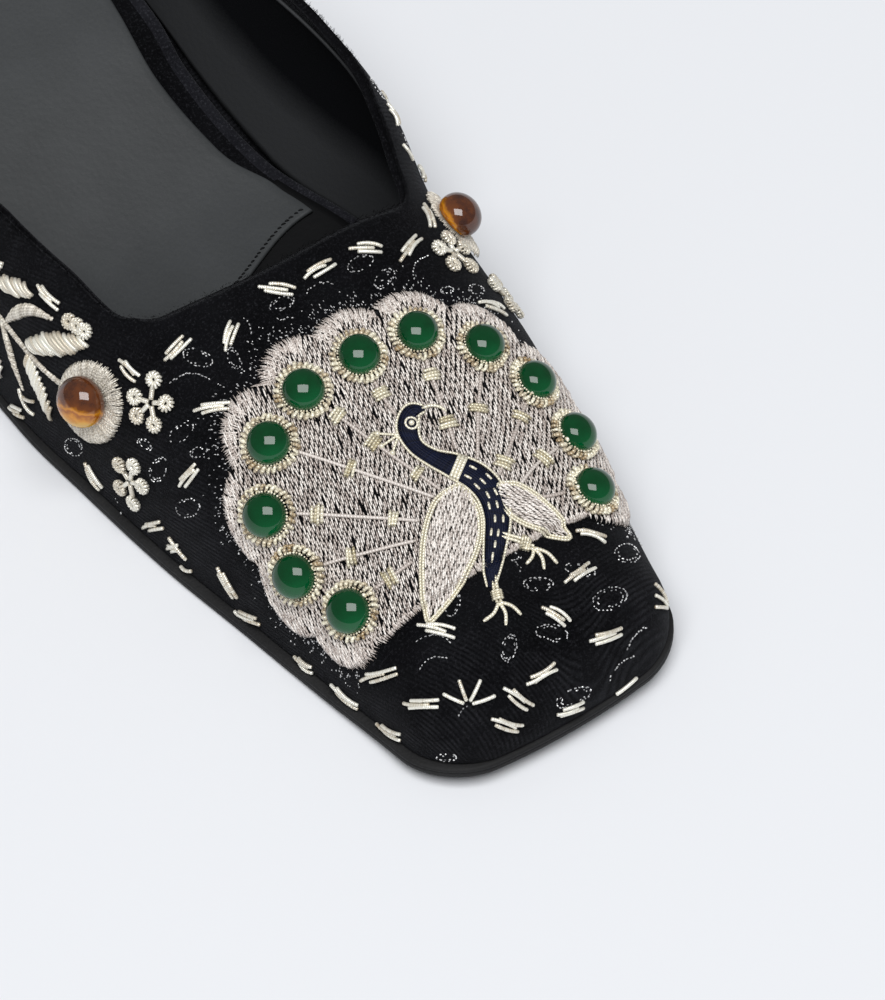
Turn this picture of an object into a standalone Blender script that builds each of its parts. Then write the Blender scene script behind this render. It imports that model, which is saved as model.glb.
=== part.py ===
"""Wedge mule for the right foot: velvet upper with a raised peacock fan.

The shoe stands on the floor (z = 0) with its toe towards -Y and its inner
(medial) side towards +X.  Shape functions work in millimetres in the shoe's
own coordinates: x across, s along the foot from the toe tip, z up.  A place on
the upper is given as (a, s), where a is the distance along the section from
its crest line, negative towards the outer (lateral) side.
"""
import math

import bmesh
import bpy
import numpy as np

MM = 0.001

# Driving dimensions, in millimetres
LENGTH = 250.0
SIDE_SHIFT = 2.42         # moves the shoe so that its box is centred on x = 0
TOE_CORNER = 10.0         # plan radius of the square toe's corners
TOE_BOW = 2.2             # how far the middle of the toe edge stands forward
TOE_DOME = 13.0           # length over which the toe box rises to its height
TOE_SPRING = 3.0
SPRING_END = 45.0
ARCH = (112.0, 172.0, 2.5)        # start, end and lift of the outsole's arch
HEEL_START = 222.0        # where the plan starts to round off at the heel
HEEL_POWER = 2.3
WALL = 2.0                # upper: velvet, backing and lining
GAP = 0.3                 # between pieces that meet
OUTSOLE = 2.4             # outsole thickness
SOLE_PROUD = 0.6          # outsole stands out past the upper
BOARD = 3.2               # wrapped footbed
SOCK = 0.9
SOCK_FRONT = 96.4         # tip of the sock's rounded front edge
SOCK_TONGUE = 7.8         # how far the tip stands forward of the edge's ends
SOCK_HEEL = 4.8           # sock ends this far in from the heel
WEDGE_FRONT = 117.0
WING_END = 176.0
THROAT = 80.0             # station of the throat line at the crest
THROAT_CORNER = 6.0

# Last, a row for each station: plan half-lines, height of the crest above the
# feather line, crest offset, how far the medial flank swells over the feather
# line, and the fullness (power) of the section.
LAST = (
    # s, lateral, medial, crest, ridge, flank, full
    (0.0, -22.6, 24.0, 13.5, 0.0, 0.0, 2.6),
    (12.0, -23.8, 25.7, 17.5, 0.0, 0.0, 2.6),
    (28.0, -26.5, 28.9, 21.0, 0.5, 0.0, 2.6),
    (45.0, -29.6, 31.9, 25.5, 1.0, 0.0, 2.7),
    (62.0, -33.0, 33.2, 30.0, 1.5, 0.0, 2.9),
    (82.0, -35.9, 32.8, 35.0, 2.0, 0.0, 3.2),
    (98.0, -37.8, 30.4, 39.5, 3.0, 8.0, 3.3),
    (118.0, -38.2, 24.6, 46.0, 3.0, 17.0, 2.9),
    (140.0, -36.0, 22.6, 52.0, 3.0, 16.0, 2.7),
    (165.0, -32.5, 23.0, 58.0, 2.0, 8.0, 2.6),
    (195.0, -30.5, 25.0, 64.0, 2.0, 0.0, 2.6),
    (220.0, -30.0, 26.0, 66.0, 2.0, 0.0, 2.6),
    (250.0, -30.0, 26.0, 66.0, 2.0, 0.0, 2.6),
)

# Lift of the feather line by the wedge
WEDGE_RISE = (
    # s, rise
    (0.0, 0.0),
    (108.0, 0.0),
    (125.0, 2.0),
    (150.0, 7.5),
    (185.0, 16.5),
    (220.0, 23.5),
    (250.0, 27.0),
)

# Topline of the two wings behind the throat, above the feather line
TOPLINE = (
    # s, lateral, medial
    (78.0, 30.0, 28.5),
    (90.0, 31.5, 31.5),
    (100.0, 33.0, 33.7),
    (112.0, 33.4, 33.8),
    (126.0, 30.0, 31.0),
    (142.0, 22.5, 23.5),
    (158.0, 12.5, 13.5),
    (170.0, 5.6, 6.0),
    (176.0, 4.0, 4.2),
)

# Edges of the footbed and the sock inside the plan half-lines: room for the
# upper's wall in front, and the margin that shows round the sock
BOARD_INSET = (
    # s, lateral, medial
    (0.0, 2.5, 2.5),
    (97.0, 2.6, 2.6),
    (110.0, 2.6, 2.8),
    (126.0, 2.6, 3.7),
    (136.0, 2.6, 3.6),
    (146.0, 2.6, 2.7),
    (176.6, 2.6, 2.7),
    (179.0, 0.4, 0.4),
    (250.0, 0.4, 0.4),
)
SOCK_INSET = (
    # s, lateral, medial
    (95.0, 7.4, 8.8),
    (104.0, 7.4, 8.2),
    (110.0, 7.4, 7.4),
    (120.0, 7.4, 8.5),
    (136.0, 7.4, 9.2),
    (150.0, 7.2, 7.9),
    (176.0, 6.2, 6.2),
    (222.0, 5.0, 5.0),
    (250.0, 5.0, 5.0),
)

# Fan: lobes round a centre on the crest, with a stone in each
FAN_CENTRE = (-1.0, 36.0)         # a, s
FAN_FIRST_ANGLE = 195.0           # of the outermost lateral lobe, in degrees
FAN_STEP = -21.7                  # from lobe to lobe, towards the medial side
FAN_HUB = 26.0                    # field inside the ring of lobes
FAN_BASE = 21.3                   # station of the fan's straight lower edge
SCALLOP = 7.7                     # radius of a lobe of size 1
FAN_LIFT = (0.7, 1.3)             # underside and top of the embroidered field
STONES = (
    # distance of the lobe, size, angle and distance of the stone
    (24.8, 1.05, 197.5, 23.9),
    (28.3, 1.05, 173.0, 27.2),
    (29.2, 1.05, 153.0, 28.6),
    (28.5, 1.02, 133.0, 28.0),
    (26.4, 1.00, 113.5, 26.0),
    (25.0, 0.98, 89.7, 24.1),
    (25.8, 0.97, 66.2, 25.1),
    (26.4, 0.96, 43.2, 24.8),
    (27.2, 0.96, 22.1, 24.1),
    (27.8, 0.98, -1.5, 23.6),
    (25.0, 0.98, -28.2, 23.0),
)
STONE_RADIUS = 3.1
STONE_HEIGHT = 3.9
RING_RADIUS = 4.0                 # middle of the gold ring round a stone
RING_THICK = 0.6                  # radius of the ring's cord
AMBERS = (
    # name, stone's a and s, radius, height
    ("lateral", -39.9, 83.75, 4.1, 5.15),
    ("medial", 30.6, 76.4, 3.6, 4.7),
)
HALOS = (
    # disc's a and s, reach across and along, tilt in degrees
    (-41.4, 83.7, 8.2, 6.3, -24.0),
    (32.6, 77.3, 5.4, 6.4, 0.0),
)
HALO_LIFT = (0.55, 1.15)

# Mesh steps
TOE_ROWS = (0.0, 0.15, 0.6, 1.5, 3.0, 5.0, 7.5, 10.5, 14.0)
VAMP_ROWS = 12
WING_ROWS = 15
SIDE_COLUMNS = 7
TOP_COLUMNS = 12
FLAT_COLUMNS = 4
HEEL_TIP = 0.9985         # where the plan's last row lies, short of a point


def table(rows, column, s):
    """Smooth curve through one column of a table, without overshoot."""
    knots = np.array([row[0] for row in rows])
    values = np.array([row[column] for row in rows])
    step = np.diff(knots)
    rate = np.diff(values) / step
    slope = np.concatenate(([rate[0]], np.zeros(len(knots) - 2), [rate[-1]]))
    for i in range(1, len(knots) - 1):
        if rate[i - 1] * rate[i] > 0.0:
            before = 2.0 * step[i] + step[i - 1]
            after = step[i] + 2.0 * step[i - 1]
            slope[i] = (before + after) / (before / rate[i - 1] + after / rate[i])
    s = np.asarray(s, float)
    k = np.clip(np.searchsorted(knots, s, side="right") - 1, 0, len(knots) - 2)
    t = np.clip((s - knots[k]) / step[k], 0.0, 1.0)
    start = values[k] * (1.0 + 2.0 * t) * (1.0 - t) ** 2 + slope[k] * step[k] * t * (1.0 - t) ** 2
    return start + values[k + 1] * t * t * (3.0 - 2.0 * t) + slope[k + 1] * step[k] * t * t * (t - 1.0)


def half_lines(s, lateral_inset=0.0, medial_inset=0.0):
    """Lateral and medial half-lines of the plan at station s, set in sideways."""
    s = np.asarray(s, float)
    depth = np.clip(TOE_CORNER - s, 0.0, TOE_CORNER)
    trim = TOE_CORNER - np.sqrt(TOE_CORNER**2 - depth**2)
    lateral = table(LAST, 1, s) + trim + lateral_inset
    medial = table(LAST, 2, s) - trim - medial_inset
    middle = (lateral + medial) / 2.0
    back = np.clip((s - HEEL_START) / (LENGTH - HEEL_START), 0.0, 1.0)
    width = (medial - lateral) / 2.0 * (1.0 - back**HEEL_POWER) ** (1.0 / HEEL_POWER)
    return middle - width, middle + width


def toe_bow(s, x, middle):
    """How far a point of the toe lies behind the middle of the toe edge."""
    half = (table(LAST, 2, s) - table(LAST, 1, s)) / 2.0
    return TOE_BOW * ((x - middle) / half) ** 2 * np.clip(1.0 - s / 40.0, 0.0, 1.0) ** 2


def sole_lift(s):
    """Underside of the outsole: toe spring, flat forefoot, low arch, flat heel."""
    s = np.asarray(s, float)
    spring = TOE_SPRING * np.clip(1.0 - s / SPRING_END, 0.0, 1.0) ** 2
    begin, end, lift = ARCH
    along = np.clip((s - begin) / (end - begin), 0.0, 1.0)
    return spring + lift * np.sin(math.pi * along) ** 2


def feather(s):
    """Height of the feather line, where the upper meets what is under it."""
    return sole_lift(s) + OUTSOLE + GAP + table(WEDGE_RISE, 1, s)


def section(s, angle):
    """Outer face of the upper at station s; angle runs from 0, the lateral
    feather line, over the crest at pi / 2 to pi, the medial feather line."""
    s, angle = np.broadcast_arrays(np.asarray(s, float), np.asarray(angle, float))
    lateral, medial = half_lines(s)
    full = table(LAST, 6, s)
    cosine = np.cos(angle)
    sine = np.sin(angle)
    reach = (np.abs(cosine) ** full + np.abs(sine) ** full) ** (-1.0 / full)
    across = -reach * cosine
    up = np.abs(reach * sine)
    dome = np.clip(s / TOE_DOME, 0.0, 1.0)
    crest = table(LAST, 3, s) * np.sqrt(1.0 - (1.0 - dome) ** 2.4)
    middle = (lateral + medial) / 2.0
    x = middle + (medial - lateral) / 2.0 * across
    bow = toe_bow(s, x, middle)
    x = x + table(LAST, 4, s) * up + table(LAST, 5, s) * up * np.clip(across, 0.0, None)
    return np.stack([x, s + bow, feather(s) + crest * up], axis=-1)


SECTION_ANGLES = np.linspace(0.0, math.pi, 241)
CREST_INDEX = 120


def section_arcs(s):
    """Sections at the stations s, with the distance of their points from the crest."""
    s = np.atleast_1d(np.asarray(s, float))
    line = section(s[:, None], SECTION_ANGLES[None, :])
    step = np.hypot(np.diff(line[..., 0], axis=1), np.diff(line[..., 2], axis=1))
    arc = np.concatenate([np.zeros((len(s), 1)), np.cumsum(step, axis=1)], axis=1)
    return line, arc - arc[:, CREST_INDEX : CREST_INDEX + 1]


def skin(a, s):
    """Points of the upper's outer face at distance a from the crest, station s."""
    a, s = np.broadcast_arrays(np.asarray(a, float), np.asarray(s, float))
    line, arc = section_arcs(s.ravel())
    points = np.empty((a.size, 3))
    for i, place in enumerate(a.ravel()):
        for axis in range(3):
            points[i, axis] = np.interp(place, arc[i], line[i, :, axis])
    return points.reshape(a.shape + (3,))


def skin_normal(a, s, reach=0.4):
    """Outward normals of the upper's outer face."""
    across = skin(a + reach, s) - skin(a - reach, s)
    along = skin(a, s + reach) - skin(a, s - reach)
    normal = np.cross(across, along)
    return normal / np.linalg.norm(normal, axis=-1, keepdims=True)


def topline(s, side):
    """Distance from the crest to the topline of a wing; side is -1 or +1."""
    s = np.atleast_1d(np.asarray(s, float))
    line, arc = section_arcs(s)
    height = table(TOPLINE, 1 if side < 0 else 2, s)
    places = np.empty(len(s))
    for i in range(len(s)):
        rise = line[i, :, 2] - line[i, 0, 2]
        if side < 0:
            places[i] = np.interp(height[i], rise[: CREST_INDEX + 1], arc[i, : CREST_INDEX + 1])
        else:
            places[i] = np.interp(height[i], rise[CREST_INDEX:][::-1], arc[i, CREST_INDEX:][::-1])
    return places


def throat(a):
    """Station of the throat line at distance a from the crest."""
    outer = np.clip(-np.asarray(a, float) / 31.0, 0.0, None)
    return THROAT + 5.5 * outer**2


def to_world(points):
    """Shoe coordinates in millimetres to world coordinates in metres."""
    world = np.array(points, float)
    world[..., 0] += SIDE_SHIFT
    world[..., 1] -= LENGTH / 2.0
    return world * MM


def material(name, colour, roughness, metallic=0.0):
    made = bpy.data.materials.new(name)
    made.use_nodes = True
    shader = made.node_tree.nodes["Principled BSDF"]
    shader.inputs["Base Color"].default_value = (*colour, 1.0)
    shader.inputs["Roughness"].default_value = roughness
    shader.inputs["Metallic"].default_value = metallic
    made.diffuse_color = (*colour, 1.0)
    return made


def add_object(name, points, faces, finish, smooth=40.0):
    """Mesh object from shoe coordinates, with its faces turned outwards."""
    mesh = bpy.data.meshes.new(name)
    mesh.from_pydata([tuple(p) for p in to_world(points)], [], faces)
    shape = bmesh.new()
    shape.from_mesh(mesh)
    bmesh.ops.recalc_face_normals(shape, faces=shape.faces)
    shape.to_mesh(mesh)
    shape.free()
    mesh.materials.append(finish)
    mesh.shade_smooth()
    mesh.set_sharp_from_angle(angle=math.radians(smooth))
    thing = bpy.data.objects.new(name, mesh)
    bpy.context.collection.objects.link(thing)
    return thing


def boundary_edges(faces):
    """Directed edges that only one face of an open sheet uses."""
    seen = {}
    for face in faces:
        for i, start in enumerate(face):
            seen[(start, face[(i + 1) % len(face)])] = True
    return [edge for edge in seen if (edge[1], edge[0]) not in seen]


def closed_sheet(outer, inner, faces):
    """Solid between an open sheet and its offset copy, closed round the rim."""
    count = len(outer)
    solid = [tuple(face) for face in faces]
    solid += [tuple(count + i for i in reversed(face)) for face in faces]
    for start, end in boundary_edges(faces):
        solid.append((end, start, count + start, count + end))
    return np.concatenate([outer, inner]), solid


def vertex_normals(points, faces):
    """Area-weighted vertex normals of a sheet."""
    normals = np.zeros_like(points)
    for face in faces:
        corners = points[list(face)]
        area = np.cross(corners[2] - corners[0], corners[-1] - corners[1])
        normals[list(face)] += area
    return normals / np.linalg.norm(normals, axis=1, keepdims=True)


def corner_round(distance):
    """Inward step of the throat's rounded corner at a distance from it."""
    near = np.clip(THROAT_CORNER - np.asarray(distance, float), 0.0, THROAT_CORNER)
    return THROAT_CORNER - np.sqrt(THROAT_CORNER**2 - near**2)


def upper_grid():
    """Places (a, s) of the upper's outer face: the vamp's rows from the toe to
    the throat line, then each wing's rows, and the faces between them."""
    at_corner = THROAT_CORNER * (1.0 - math.sqrt(0.5))
    outer_corner = topline(THROAT + 5.0, -1)[0]
    inner_corner = topline(THROAT, 1)[0]
    spread = np.linspace(0.0, 1.0, TOP_COLUMNS + 1)
    spread = 0.6 * spread + 0.4 * (0.5 - 0.5 * np.cos(math.pi * spread))
    top = outer_corner + (inner_corner - outer_corner) * spread
    end_row = throat(top)
    end_row += corner_round(top - outer_corner) + corner_round(inner_corner - top)
    end_row[0] = throat(outer_corner) + at_corner
    end_row[-1] = throat(inner_corner) + at_corner
    top[0] += at_corner
    top[-1] -= at_corner
    side = SIDE_COLUMNS
    end_row = np.concatenate([np.full(side, end_row[0]), end_row, np.full(side, end_row[-1])])
    stations = np.concatenate([TOE_ROWS, np.linspace(TOE_ROWS[-1], THROAT, VAMP_ROWS + 1)[1:]])
    last_ends = section_arcs([end_row[0], end_row[-1]])[1]
    places = []
    for station in stations:
        pull = np.clip((station - 30.0) / (THROAT - 30.0), 0.0, 1.0) ** 2
        s = station + (end_row - THROAT) * pull
        arc = section_arcs([s[0], s[-1]])[1]
        low, high = arc[0, 0], arc[1, -1]
        left = top[0] * low / last_ends[0, 0]
        right = top[-1] * high / last_ends[1, -1]
        middle = left + (right - left) * (top - top[0]) / (top[-1] - top[0])
        a = np.concatenate([
            np.linspace(low, left, side + 1)[:-1],
            middle,
            np.linspace(right, high, side + 1)[1:],
        ])
        places.append(np.stack([a, s], axis=1))
    columns = len(end_row)
    rows = len(stations)
    index = np.arange(rows * columns).reshape(rows, columns)
    faces = grid_faces(index)
    grids = [np.concatenate(places)]
    used = rows * columns
    for sign, edge in ((-1, index[-1, : side + 1]), (1, index[-1, -side - 1 :])):
        begin = end_row[0] if sign < 0 else end_row[-1]
        corner = topline(begin, sign)[0]
        wing_s = begin + (WING_END - begin) * np.linspace(0.0, 1.0, WING_ROWS + 1)[1:]
        step = corner_round(wing_s - (begin - at_corner))
        rim = topline(wing_s, sign) - sign * step
        ends = section_arcs(wing_s)[1]
        wing = []
        for i in range(WING_ROWS):
            if sign < 0:
                a = np.linspace(ends[i, 0], rim[i], side + 1)
            else:
                a = np.linspace(rim[i], ends[i, -1], side + 1)
            wing.append(np.stack([a, np.full(side + 1, wing_s[i])], axis=1))
        grids.append(np.concatenate(wing))
        more = np.arange(WING_ROWS * (side + 1)).reshape(WING_ROWS, side + 1) + used
        faces += grid_faces(np.vstack([edge, more]))
        used += WING_ROWS * (side + 1)
    return np.concatenate(grids), faces


def grid_faces(index):
    """Quads between the rows of an index grid."""
    faces = []
    for i in range(index.shape[0] - 1):
        for j in range(index.shape[1] - 1):
            faces.append((index[i, j], index[i, j + 1], index[i + 1, j + 1], index[i + 1, j]))
    return [tuple(int(k) for k in face) for face in faces]


def make_upper(finish):
    """Hollow velvet upper: one wall, open underneath, at the throat and behind."""
    places, faces = upper_grid()
    outer = skin(places[:, 0], places[:, 1])
    normals = vertex_normals(outer, faces)
    if normals[:, 2].mean() < 0.0:
        normals = -normals
    inner = outer - WALL * normals
    floor = feather(places[:, 1])
    on_feather = outer[:, 2] < floor + 0.01
    inner[on_feather, 2] = outer[on_feather, 2]
    points, solid = closed_sheet(outer, inner, faces)
    return add_object("upper", points, solid, finish)


def plan_rows(begin):
    """Stations of a flat piece from begin to the heel, close together where
    the plan turns."""
    toe = [s for s in TOE_ROWS[:-1] if s >= begin]
    start = max(begin, TOE_ROWS[-1])
    run = np.linspace(start, HEEL_START, round((HEEL_START - start) / 7.5) + 1)
    turn = np.linspace(0.0, math.pi / 2.0, 9)[1:]
    heel = HEEL_START + (LENGTH - HEEL_START) * HEEL_TIP * np.sin(turn)
    return np.concatenate([toe, run, heel])


def flat_rows(stations, insets, ends, height):
    """Rows of points across the shoe, each row level.  insets are sideways,
    ends is how far the toe and the heel end stand out, height(s) is in z."""
    lateral, medial = half_lines(stations, *insets)
    across = np.linspace(0.0, 1.0, FLAT_COLUMNS + 1)
    x = lateral[:, None] + (medial - lateral)[:, None] * across
    toe_part = np.clip(1.0 - stations / 60.0, 0.0, 1.0)
    heel_part = np.clip((stations - HEEL_START) / (LENGTH - HEEL_START), 0.0, 1.0)
    centre = stations - ends[0] * toe_part + ends[1] * heel_part
    middle = (lateral + medial)[:, None] / 2.0
    s = centre[:, None] + toe_bow(stations[:, None], x, middle)
    z = np.broadcast_to(height(centre)[:, None], x.shape)
    return np.stack([x, s, z], axis=-1)


def stacked_solid(levels):
    """Closed solid through levels of rows: full faces below and above, and a
    band round the edge between each level and the next."""
    rows, columns = levels[0].shape[:2]
    index = np.arange(rows * columns).reshape(rows, columns)
    rim = np.concatenate([index[0, :], index[1:, -1], index[-1, -2::-1], index[-2:0:-1, 0]])
    points = [levels[0].reshape(-1, 3)]
    faces = [face[::-1] for face in grid_faces(index)]
    lower = rim
    used = rows * columns
    for level in levels[1:-1]:
        points.append(level.reshape(-1, 3)[rim])
        ring = used + np.arange(len(rim))
        faces += band_faces(lower, ring)
        lower = ring
        used += len(rim)
    points.append(levels[-1].reshape(-1, 3))
    faces += band_faces(lower, rim + used)
    faces += grid_faces(index + used)
    return np.concatenate(points), faces


def band_faces(lower, upper):
    """Quads of a closed band between two rings of the same count."""
    faces = []
    for i in range(len(lower)):
        j = (i + 1) % len(lower)
        faces.append(tuple(int(k) for k in (lower[i], lower[j], upper[j], upper[i])))
    return faces


def make_outsole(finish):
    """Thin outsole with a stepped edge that stands out past the upper."""
    stations = plan_rows(0.0)
    steps = (
        # outwards, height above the underside
        (SOLE_PROUD - 0.6, 0.0),
        (SOLE_PROUD, 0.6),
        (SOLE_PROUD, OUTSOLE - 0.6),
        (SOLE_PROUD - 0.4, OUTSOLE),
    )
    levels = []
    for out, up in steps:
        levels.append(flat_rows(stations, (-out, -out), (out, out), lambda s: sole_lift(s) + up))
    return add_object("outsole", *stacked_solid(levels), finish)


def make_wedge(finish):
    """Velvet-covered wedge between the outsole and the footbed."""
    stations = plan_rows(WEDGE_FRONT)
    levels = []
    for inset, share in ((0.2, 0.0), (0.5, 0.7), (0.1, 1.0)):
        def height(s):
            low = sole_lift(s) + OUTSOLE + GAP
            return low + share * (feather(s) - GAP - low)
        levels.append(flat_rows(stations, (inset, inset), (0.0, -inset), height))
    return add_object("wedge", *stacked_solid(levels), finish)


def make_footbed(finish):
    """Wrapped footbed, inside the upper's wall in front and full width behind."""
    stations = np.sort(np.append(plan_rows(0.0), (WING_END + 0.6, WING_END + 3.0)))
    lateral = table(BOARD_INSET, 1, stations)
    medial = table(BOARD_INSET, 2, stations)
    levels = []
    for inwards, up in ((0.0, 0.0), (0.0, BOARD - 0.9), (0.9, BOARD)):
        insets = (lateral + inwards, medial + inwards)
        ends = (-WALL - 0.7 - inwards, -0.4 - inwards)
        levels.append(flat_rows(stations, insets, ends, lambda s: feather(s) + up))
    return add_object("footbed", *stacked_solid(levels), finish)


def make_sock(finish):
    """Leather sock on the footbed; its rounded front edge lies under the throat."""
    stations = plan_rows(SOCK_FRONT)
    insets = (table(SOCK_INSET, 1, stations), table(SOCK_INSET, 2, stations))
    rows = flat_rows(stations, insets, (0.0, -SOCK_HEEL), feather)
    across = np.linspace(-1.0, 1.0, rows.shape[1])
    back = SOCK_TONGUE * (0.5 - 0.5 * np.cos(math.pi * across))
    rows[..., 1] += back * np.clip(1.0 - (stations[:, None] - SOCK_FRONT) / 25.0, 0.0, 1.0)
    levels = []
    for up in (BOARD + GAP, BOARD + GAP + SOCK):
        level = rows.copy()
        level[..., 2] = feather(rows[..., 1]) + up
        levels.append(level)
    return add_object("sock", *stacked_solid(levels), finish)


def lobed_reach(angle, lobes, hub):
    """Distance to the outline of a hub with round lobes, in a direction."""
    reach = hub(angle)
    for centre_angle, distance, radius in lobes:
        off = angle - centre_angle
        inside = radius**2 - (distance * np.sin(off)) ** 2
        hit = distance * np.cos(off) + np.sqrt(np.clip(inside, 0.0, None))
        reach = np.where((inside > 0.0) & (hit > reach), hit, reach)
    return reach


def conformed_pad(name, centre, angles, reach, rings, lift, finish):
    """Thin pad on the upper: a star-shaped outline round a centre (a, s), cut
    between two larger forms of the upper's own face."""
    a = [centre[0]]
    s = [centre[1]]
    for i in range(1, rings + 1):
        share = (i / rings) ** 0.8
        a += list(centre[0] + reach * np.cos(angles) * share)
        s += list(centre[1] + reach * np.sin(angles) * share)
    a = np.array(a)
    s = np.array(s)
    count = len(angles)
    faces = []
    for j in range(count):
        k = (j + 1) % count
        faces.append((0, 1 + j, 1 + k))
        for i in range(rings - 1):
            inner = 1 + i * count
            outer = inner + count
            faces.append((inner + j, outer + j, outer + k, inner + k))
    base = skin(a, s)
    normals = skin_normal(a, s)
    points, solid = closed_sheet(base + lift[1] * normals, base + lift[0] * normals, faces)
    return add_object(name, points, solid, finish)


def stone_places():
    """Places and sizes of the fan's stones: a, s, size."""
    places = []
    for lobe, size, angle, distance in STONES:
        turn = math.radians(angle)
        a = FAN_CENTRE[0] + distance * math.cos(turn)
        s = FAN_CENTRE[1] + distance * math.sin(turn)
        places.append((a, s, size))
    return places


def fan_reach(angle):
    """Outline of the fan round its centre: scallops, and a straight lower edge."""
    lobes = []
    for i, (lobe, size, angle, distance) in enumerate(STONES):
        lobes.append((math.radians(FAN_FIRST_ANGLE + FAN_STEP * i), lobe, SCALLOP * size))

    def hub(direction):
        down = np.clip(-np.sin(direction), 1e-6, None)
        return np.minimum(FAN_HUB, (FAN_CENTRE[1] - FAN_BASE) / down)

    return lobed_reach(angle, lobes, hub)


def make_fan(finish):
    """Raised field of metal thread behind the stones."""
    angles = np.radians(np.arange(0.0, 360.0, 5.0))
    return conformed_pad("fan", FAN_CENTRE, angles, fan_reach(angles), 6, FAN_LIFT, finish)


def seat_frame(a, s):
    """Point on the upper and an upright frame there: across, along, outwards."""
    point = skin(a, s)
    normal = skin_normal(np.array(a), np.array(s))
    along = np.array([0.0, 1.0, 0.0]) - normal * normal[1]
    along /= np.linalg.norm(along)
    return point, np.cross(along, normal), along, normal


def turned_solid(name, seat, lift, profile, steps, finish):
    """Solid turned round the normal at a seat; profile rows are radius, height,
    from the centre below to the centre above."""
    point, across, along, normal = seat
    points = []
    for radius, height in profile:
        for i in range(steps if radius > 0.0 else 1):
            turn = 2.0 * math.pi * i / steps
            side = radius * (math.cos(turn) * across + math.sin(turn) * along)
            points.append(point + side + (lift + height) * normal)
    faces = []
    last = len(profile) - 1
    rows = [[0] * steps]
    for k in range(1, last):
        rows.append([1 + (k - 1) * steps + i for i in range(steps)])
    rows.append([len(points) - 1] * steps)
    for low, high in zip(rows, rows[1:]):
        for i in range(steps):
            j = (i + 1) % steps
            face = dict.fromkeys((low[i], low[j], high[j], high[i]))
            faces.append(tuple(face))
    return add_object(name, np.array(points), faces, finish)


def make_stone(name, a, s, radius, height, lift, finish, steps=12):
    """Domed stone with a short upright girdle."""
    girdle = 0.32 * height
    profile = [(0.0, 0.0), (0.93 * radius, 0.0), (radius, girdle)]
    for i in range(1, 4):
        turn = math.pi / 2.0 * i / 4
        profile.append((radius * math.cos(turn), girdle + (height - girdle) * math.sin(turn)))
    profile.append((0.0, height))
    return turned_solid(name, seat_frame(a, s), lift, profile, steps, finish)


def make_ring(name, a, s, radius, thick, lift, finish, steps=15, sides=4):
    """Gold cord ring round a stone."""
    point, across, along, normal = seat_frame(a, s)
    points = []
    for i in range(steps):
        turn = 2.0 * math.pi * i / steps
        outward = math.cos(turn) * across + math.sin(turn) * along
        for j in range(sides):
            roll = 2.0 * math.pi * (j + 0.5) / sides
            spot = point + (radius + thick * math.cos(roll)) * outward
            points.append(spot + (lift + thick + thick * math.sin(roll)) * normal)
    index = np.arange(steps * sides).reshape(steps, sides)
    index = np.vstack([index, index[:1]])
    index = np.hstack([index, index[:, :1]])
    return add_object(name, np.array(points), grid_faces(index), finish)


def make_stones(green, gold):
    """Stones along the fan, each in its ring."""
    lift = FAN_LIFT[1] + GAP
    for number, (a, s, size) in enumerate(stone_places(), start=1):
        make_stone(f"cabochon_{number:02d}", a, s, STONE_RADIUS * size, STONE_HEIGHT * size, lift, green)
        make_ring(f"stone_ring_{number:02d}", a, s, RING_RADIUS * size, RING_THICK * size, lift, gold)


def make_ambers(amber, silver):
    """Amber stones on the two walls, each on a satin-stitched disc."""
    angles = np.radians(np.arange(0.0, 360.0, 18.0))
    for (name, a, s, radius, height), (disc_a, disc_s, across, along, tilt) in zip(AMBERS, HALOS):
        turn = angles - math.radians(tilt)
        reach = 1.0 / np.hypot(np.cos(turn) / across, np.sin(turn) / along)
        conformed_pad(f"halo_{name}", (disc_a, disc_s), angles, reach, 2, HALO_LIFT, silver)
        make_stone(f"amber_{name}", a, s, radius, height, HALO_LIFT[1] + GAP, amber, steps=14)


def clear_scene():
    for thing in list(bpy.data.objects):
        bpy.data.objects.remove(thing, do_unlink=True)


# Materials: colour, roughness, metallic
FINISHES = {
    "velvet": ((0.008, 0.008, 0.010), 0.95, 0.0),
    "sole": ((0.012, 0.012, 0.012), 0.55, 0.0),
    "leather": ((0.060, 0.063, 0.066), 0.50, 0.0),
    "silver_thread": ((0.52, 0.48, 0.44), 0.38, 0.7),
    "gold_thread": ((0.72, 0.60, 0.36), 0.30, 0.9),
    "green_glass": ((0.004, 0.110, 0.045), 0.06, 0.0),
    "amber_glass": ((0.30, 0.11, 0.02), 0.05, 0.0),
}


def main():
    clear_scene()
    finish = {name: material(name, *values) for name, values in FINISHES.items()}
    make_outsole(finish["sole"])
    make_wedge(finish["velvet"])
    make_footbed(finish["velvet"])
    make_sock(finish["leather"])
    make_upper(finish["velvet"])
    make_fan(finish["silver_thread"])
    make_stones(finish["green_glass"], finish["gold_thread"])
    make_ambers(finish["amber_glass"], finish["silver_thread"])


main()
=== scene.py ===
"""Looks of the velvet wedge mule: every solid of the frame gets its finished surface.

Sizes are in millimetres in the shoe's own coordinates, as in the part: x across
(+ medial), s along the foot from the toe tip, z up.  A place on the upper is
(a, s), with a the distance along the section from the crest line, negative
towards the lateral side.  A run is s, unrolled down the toe's front wall.
"""

import bmesh
import bpy
import numpy as np
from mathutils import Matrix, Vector
from mathutils.bvhtree import BVHTree
from numpy import arange, array, broadcast_to, clip, concatenate, cos, cross, gradient, hstack, hypot, interp
from numpy import linspace, maximum, minimum, pi, radians, sin, sqrt, stack, vstack, where, zeros
from numpy.linalg import norm


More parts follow.
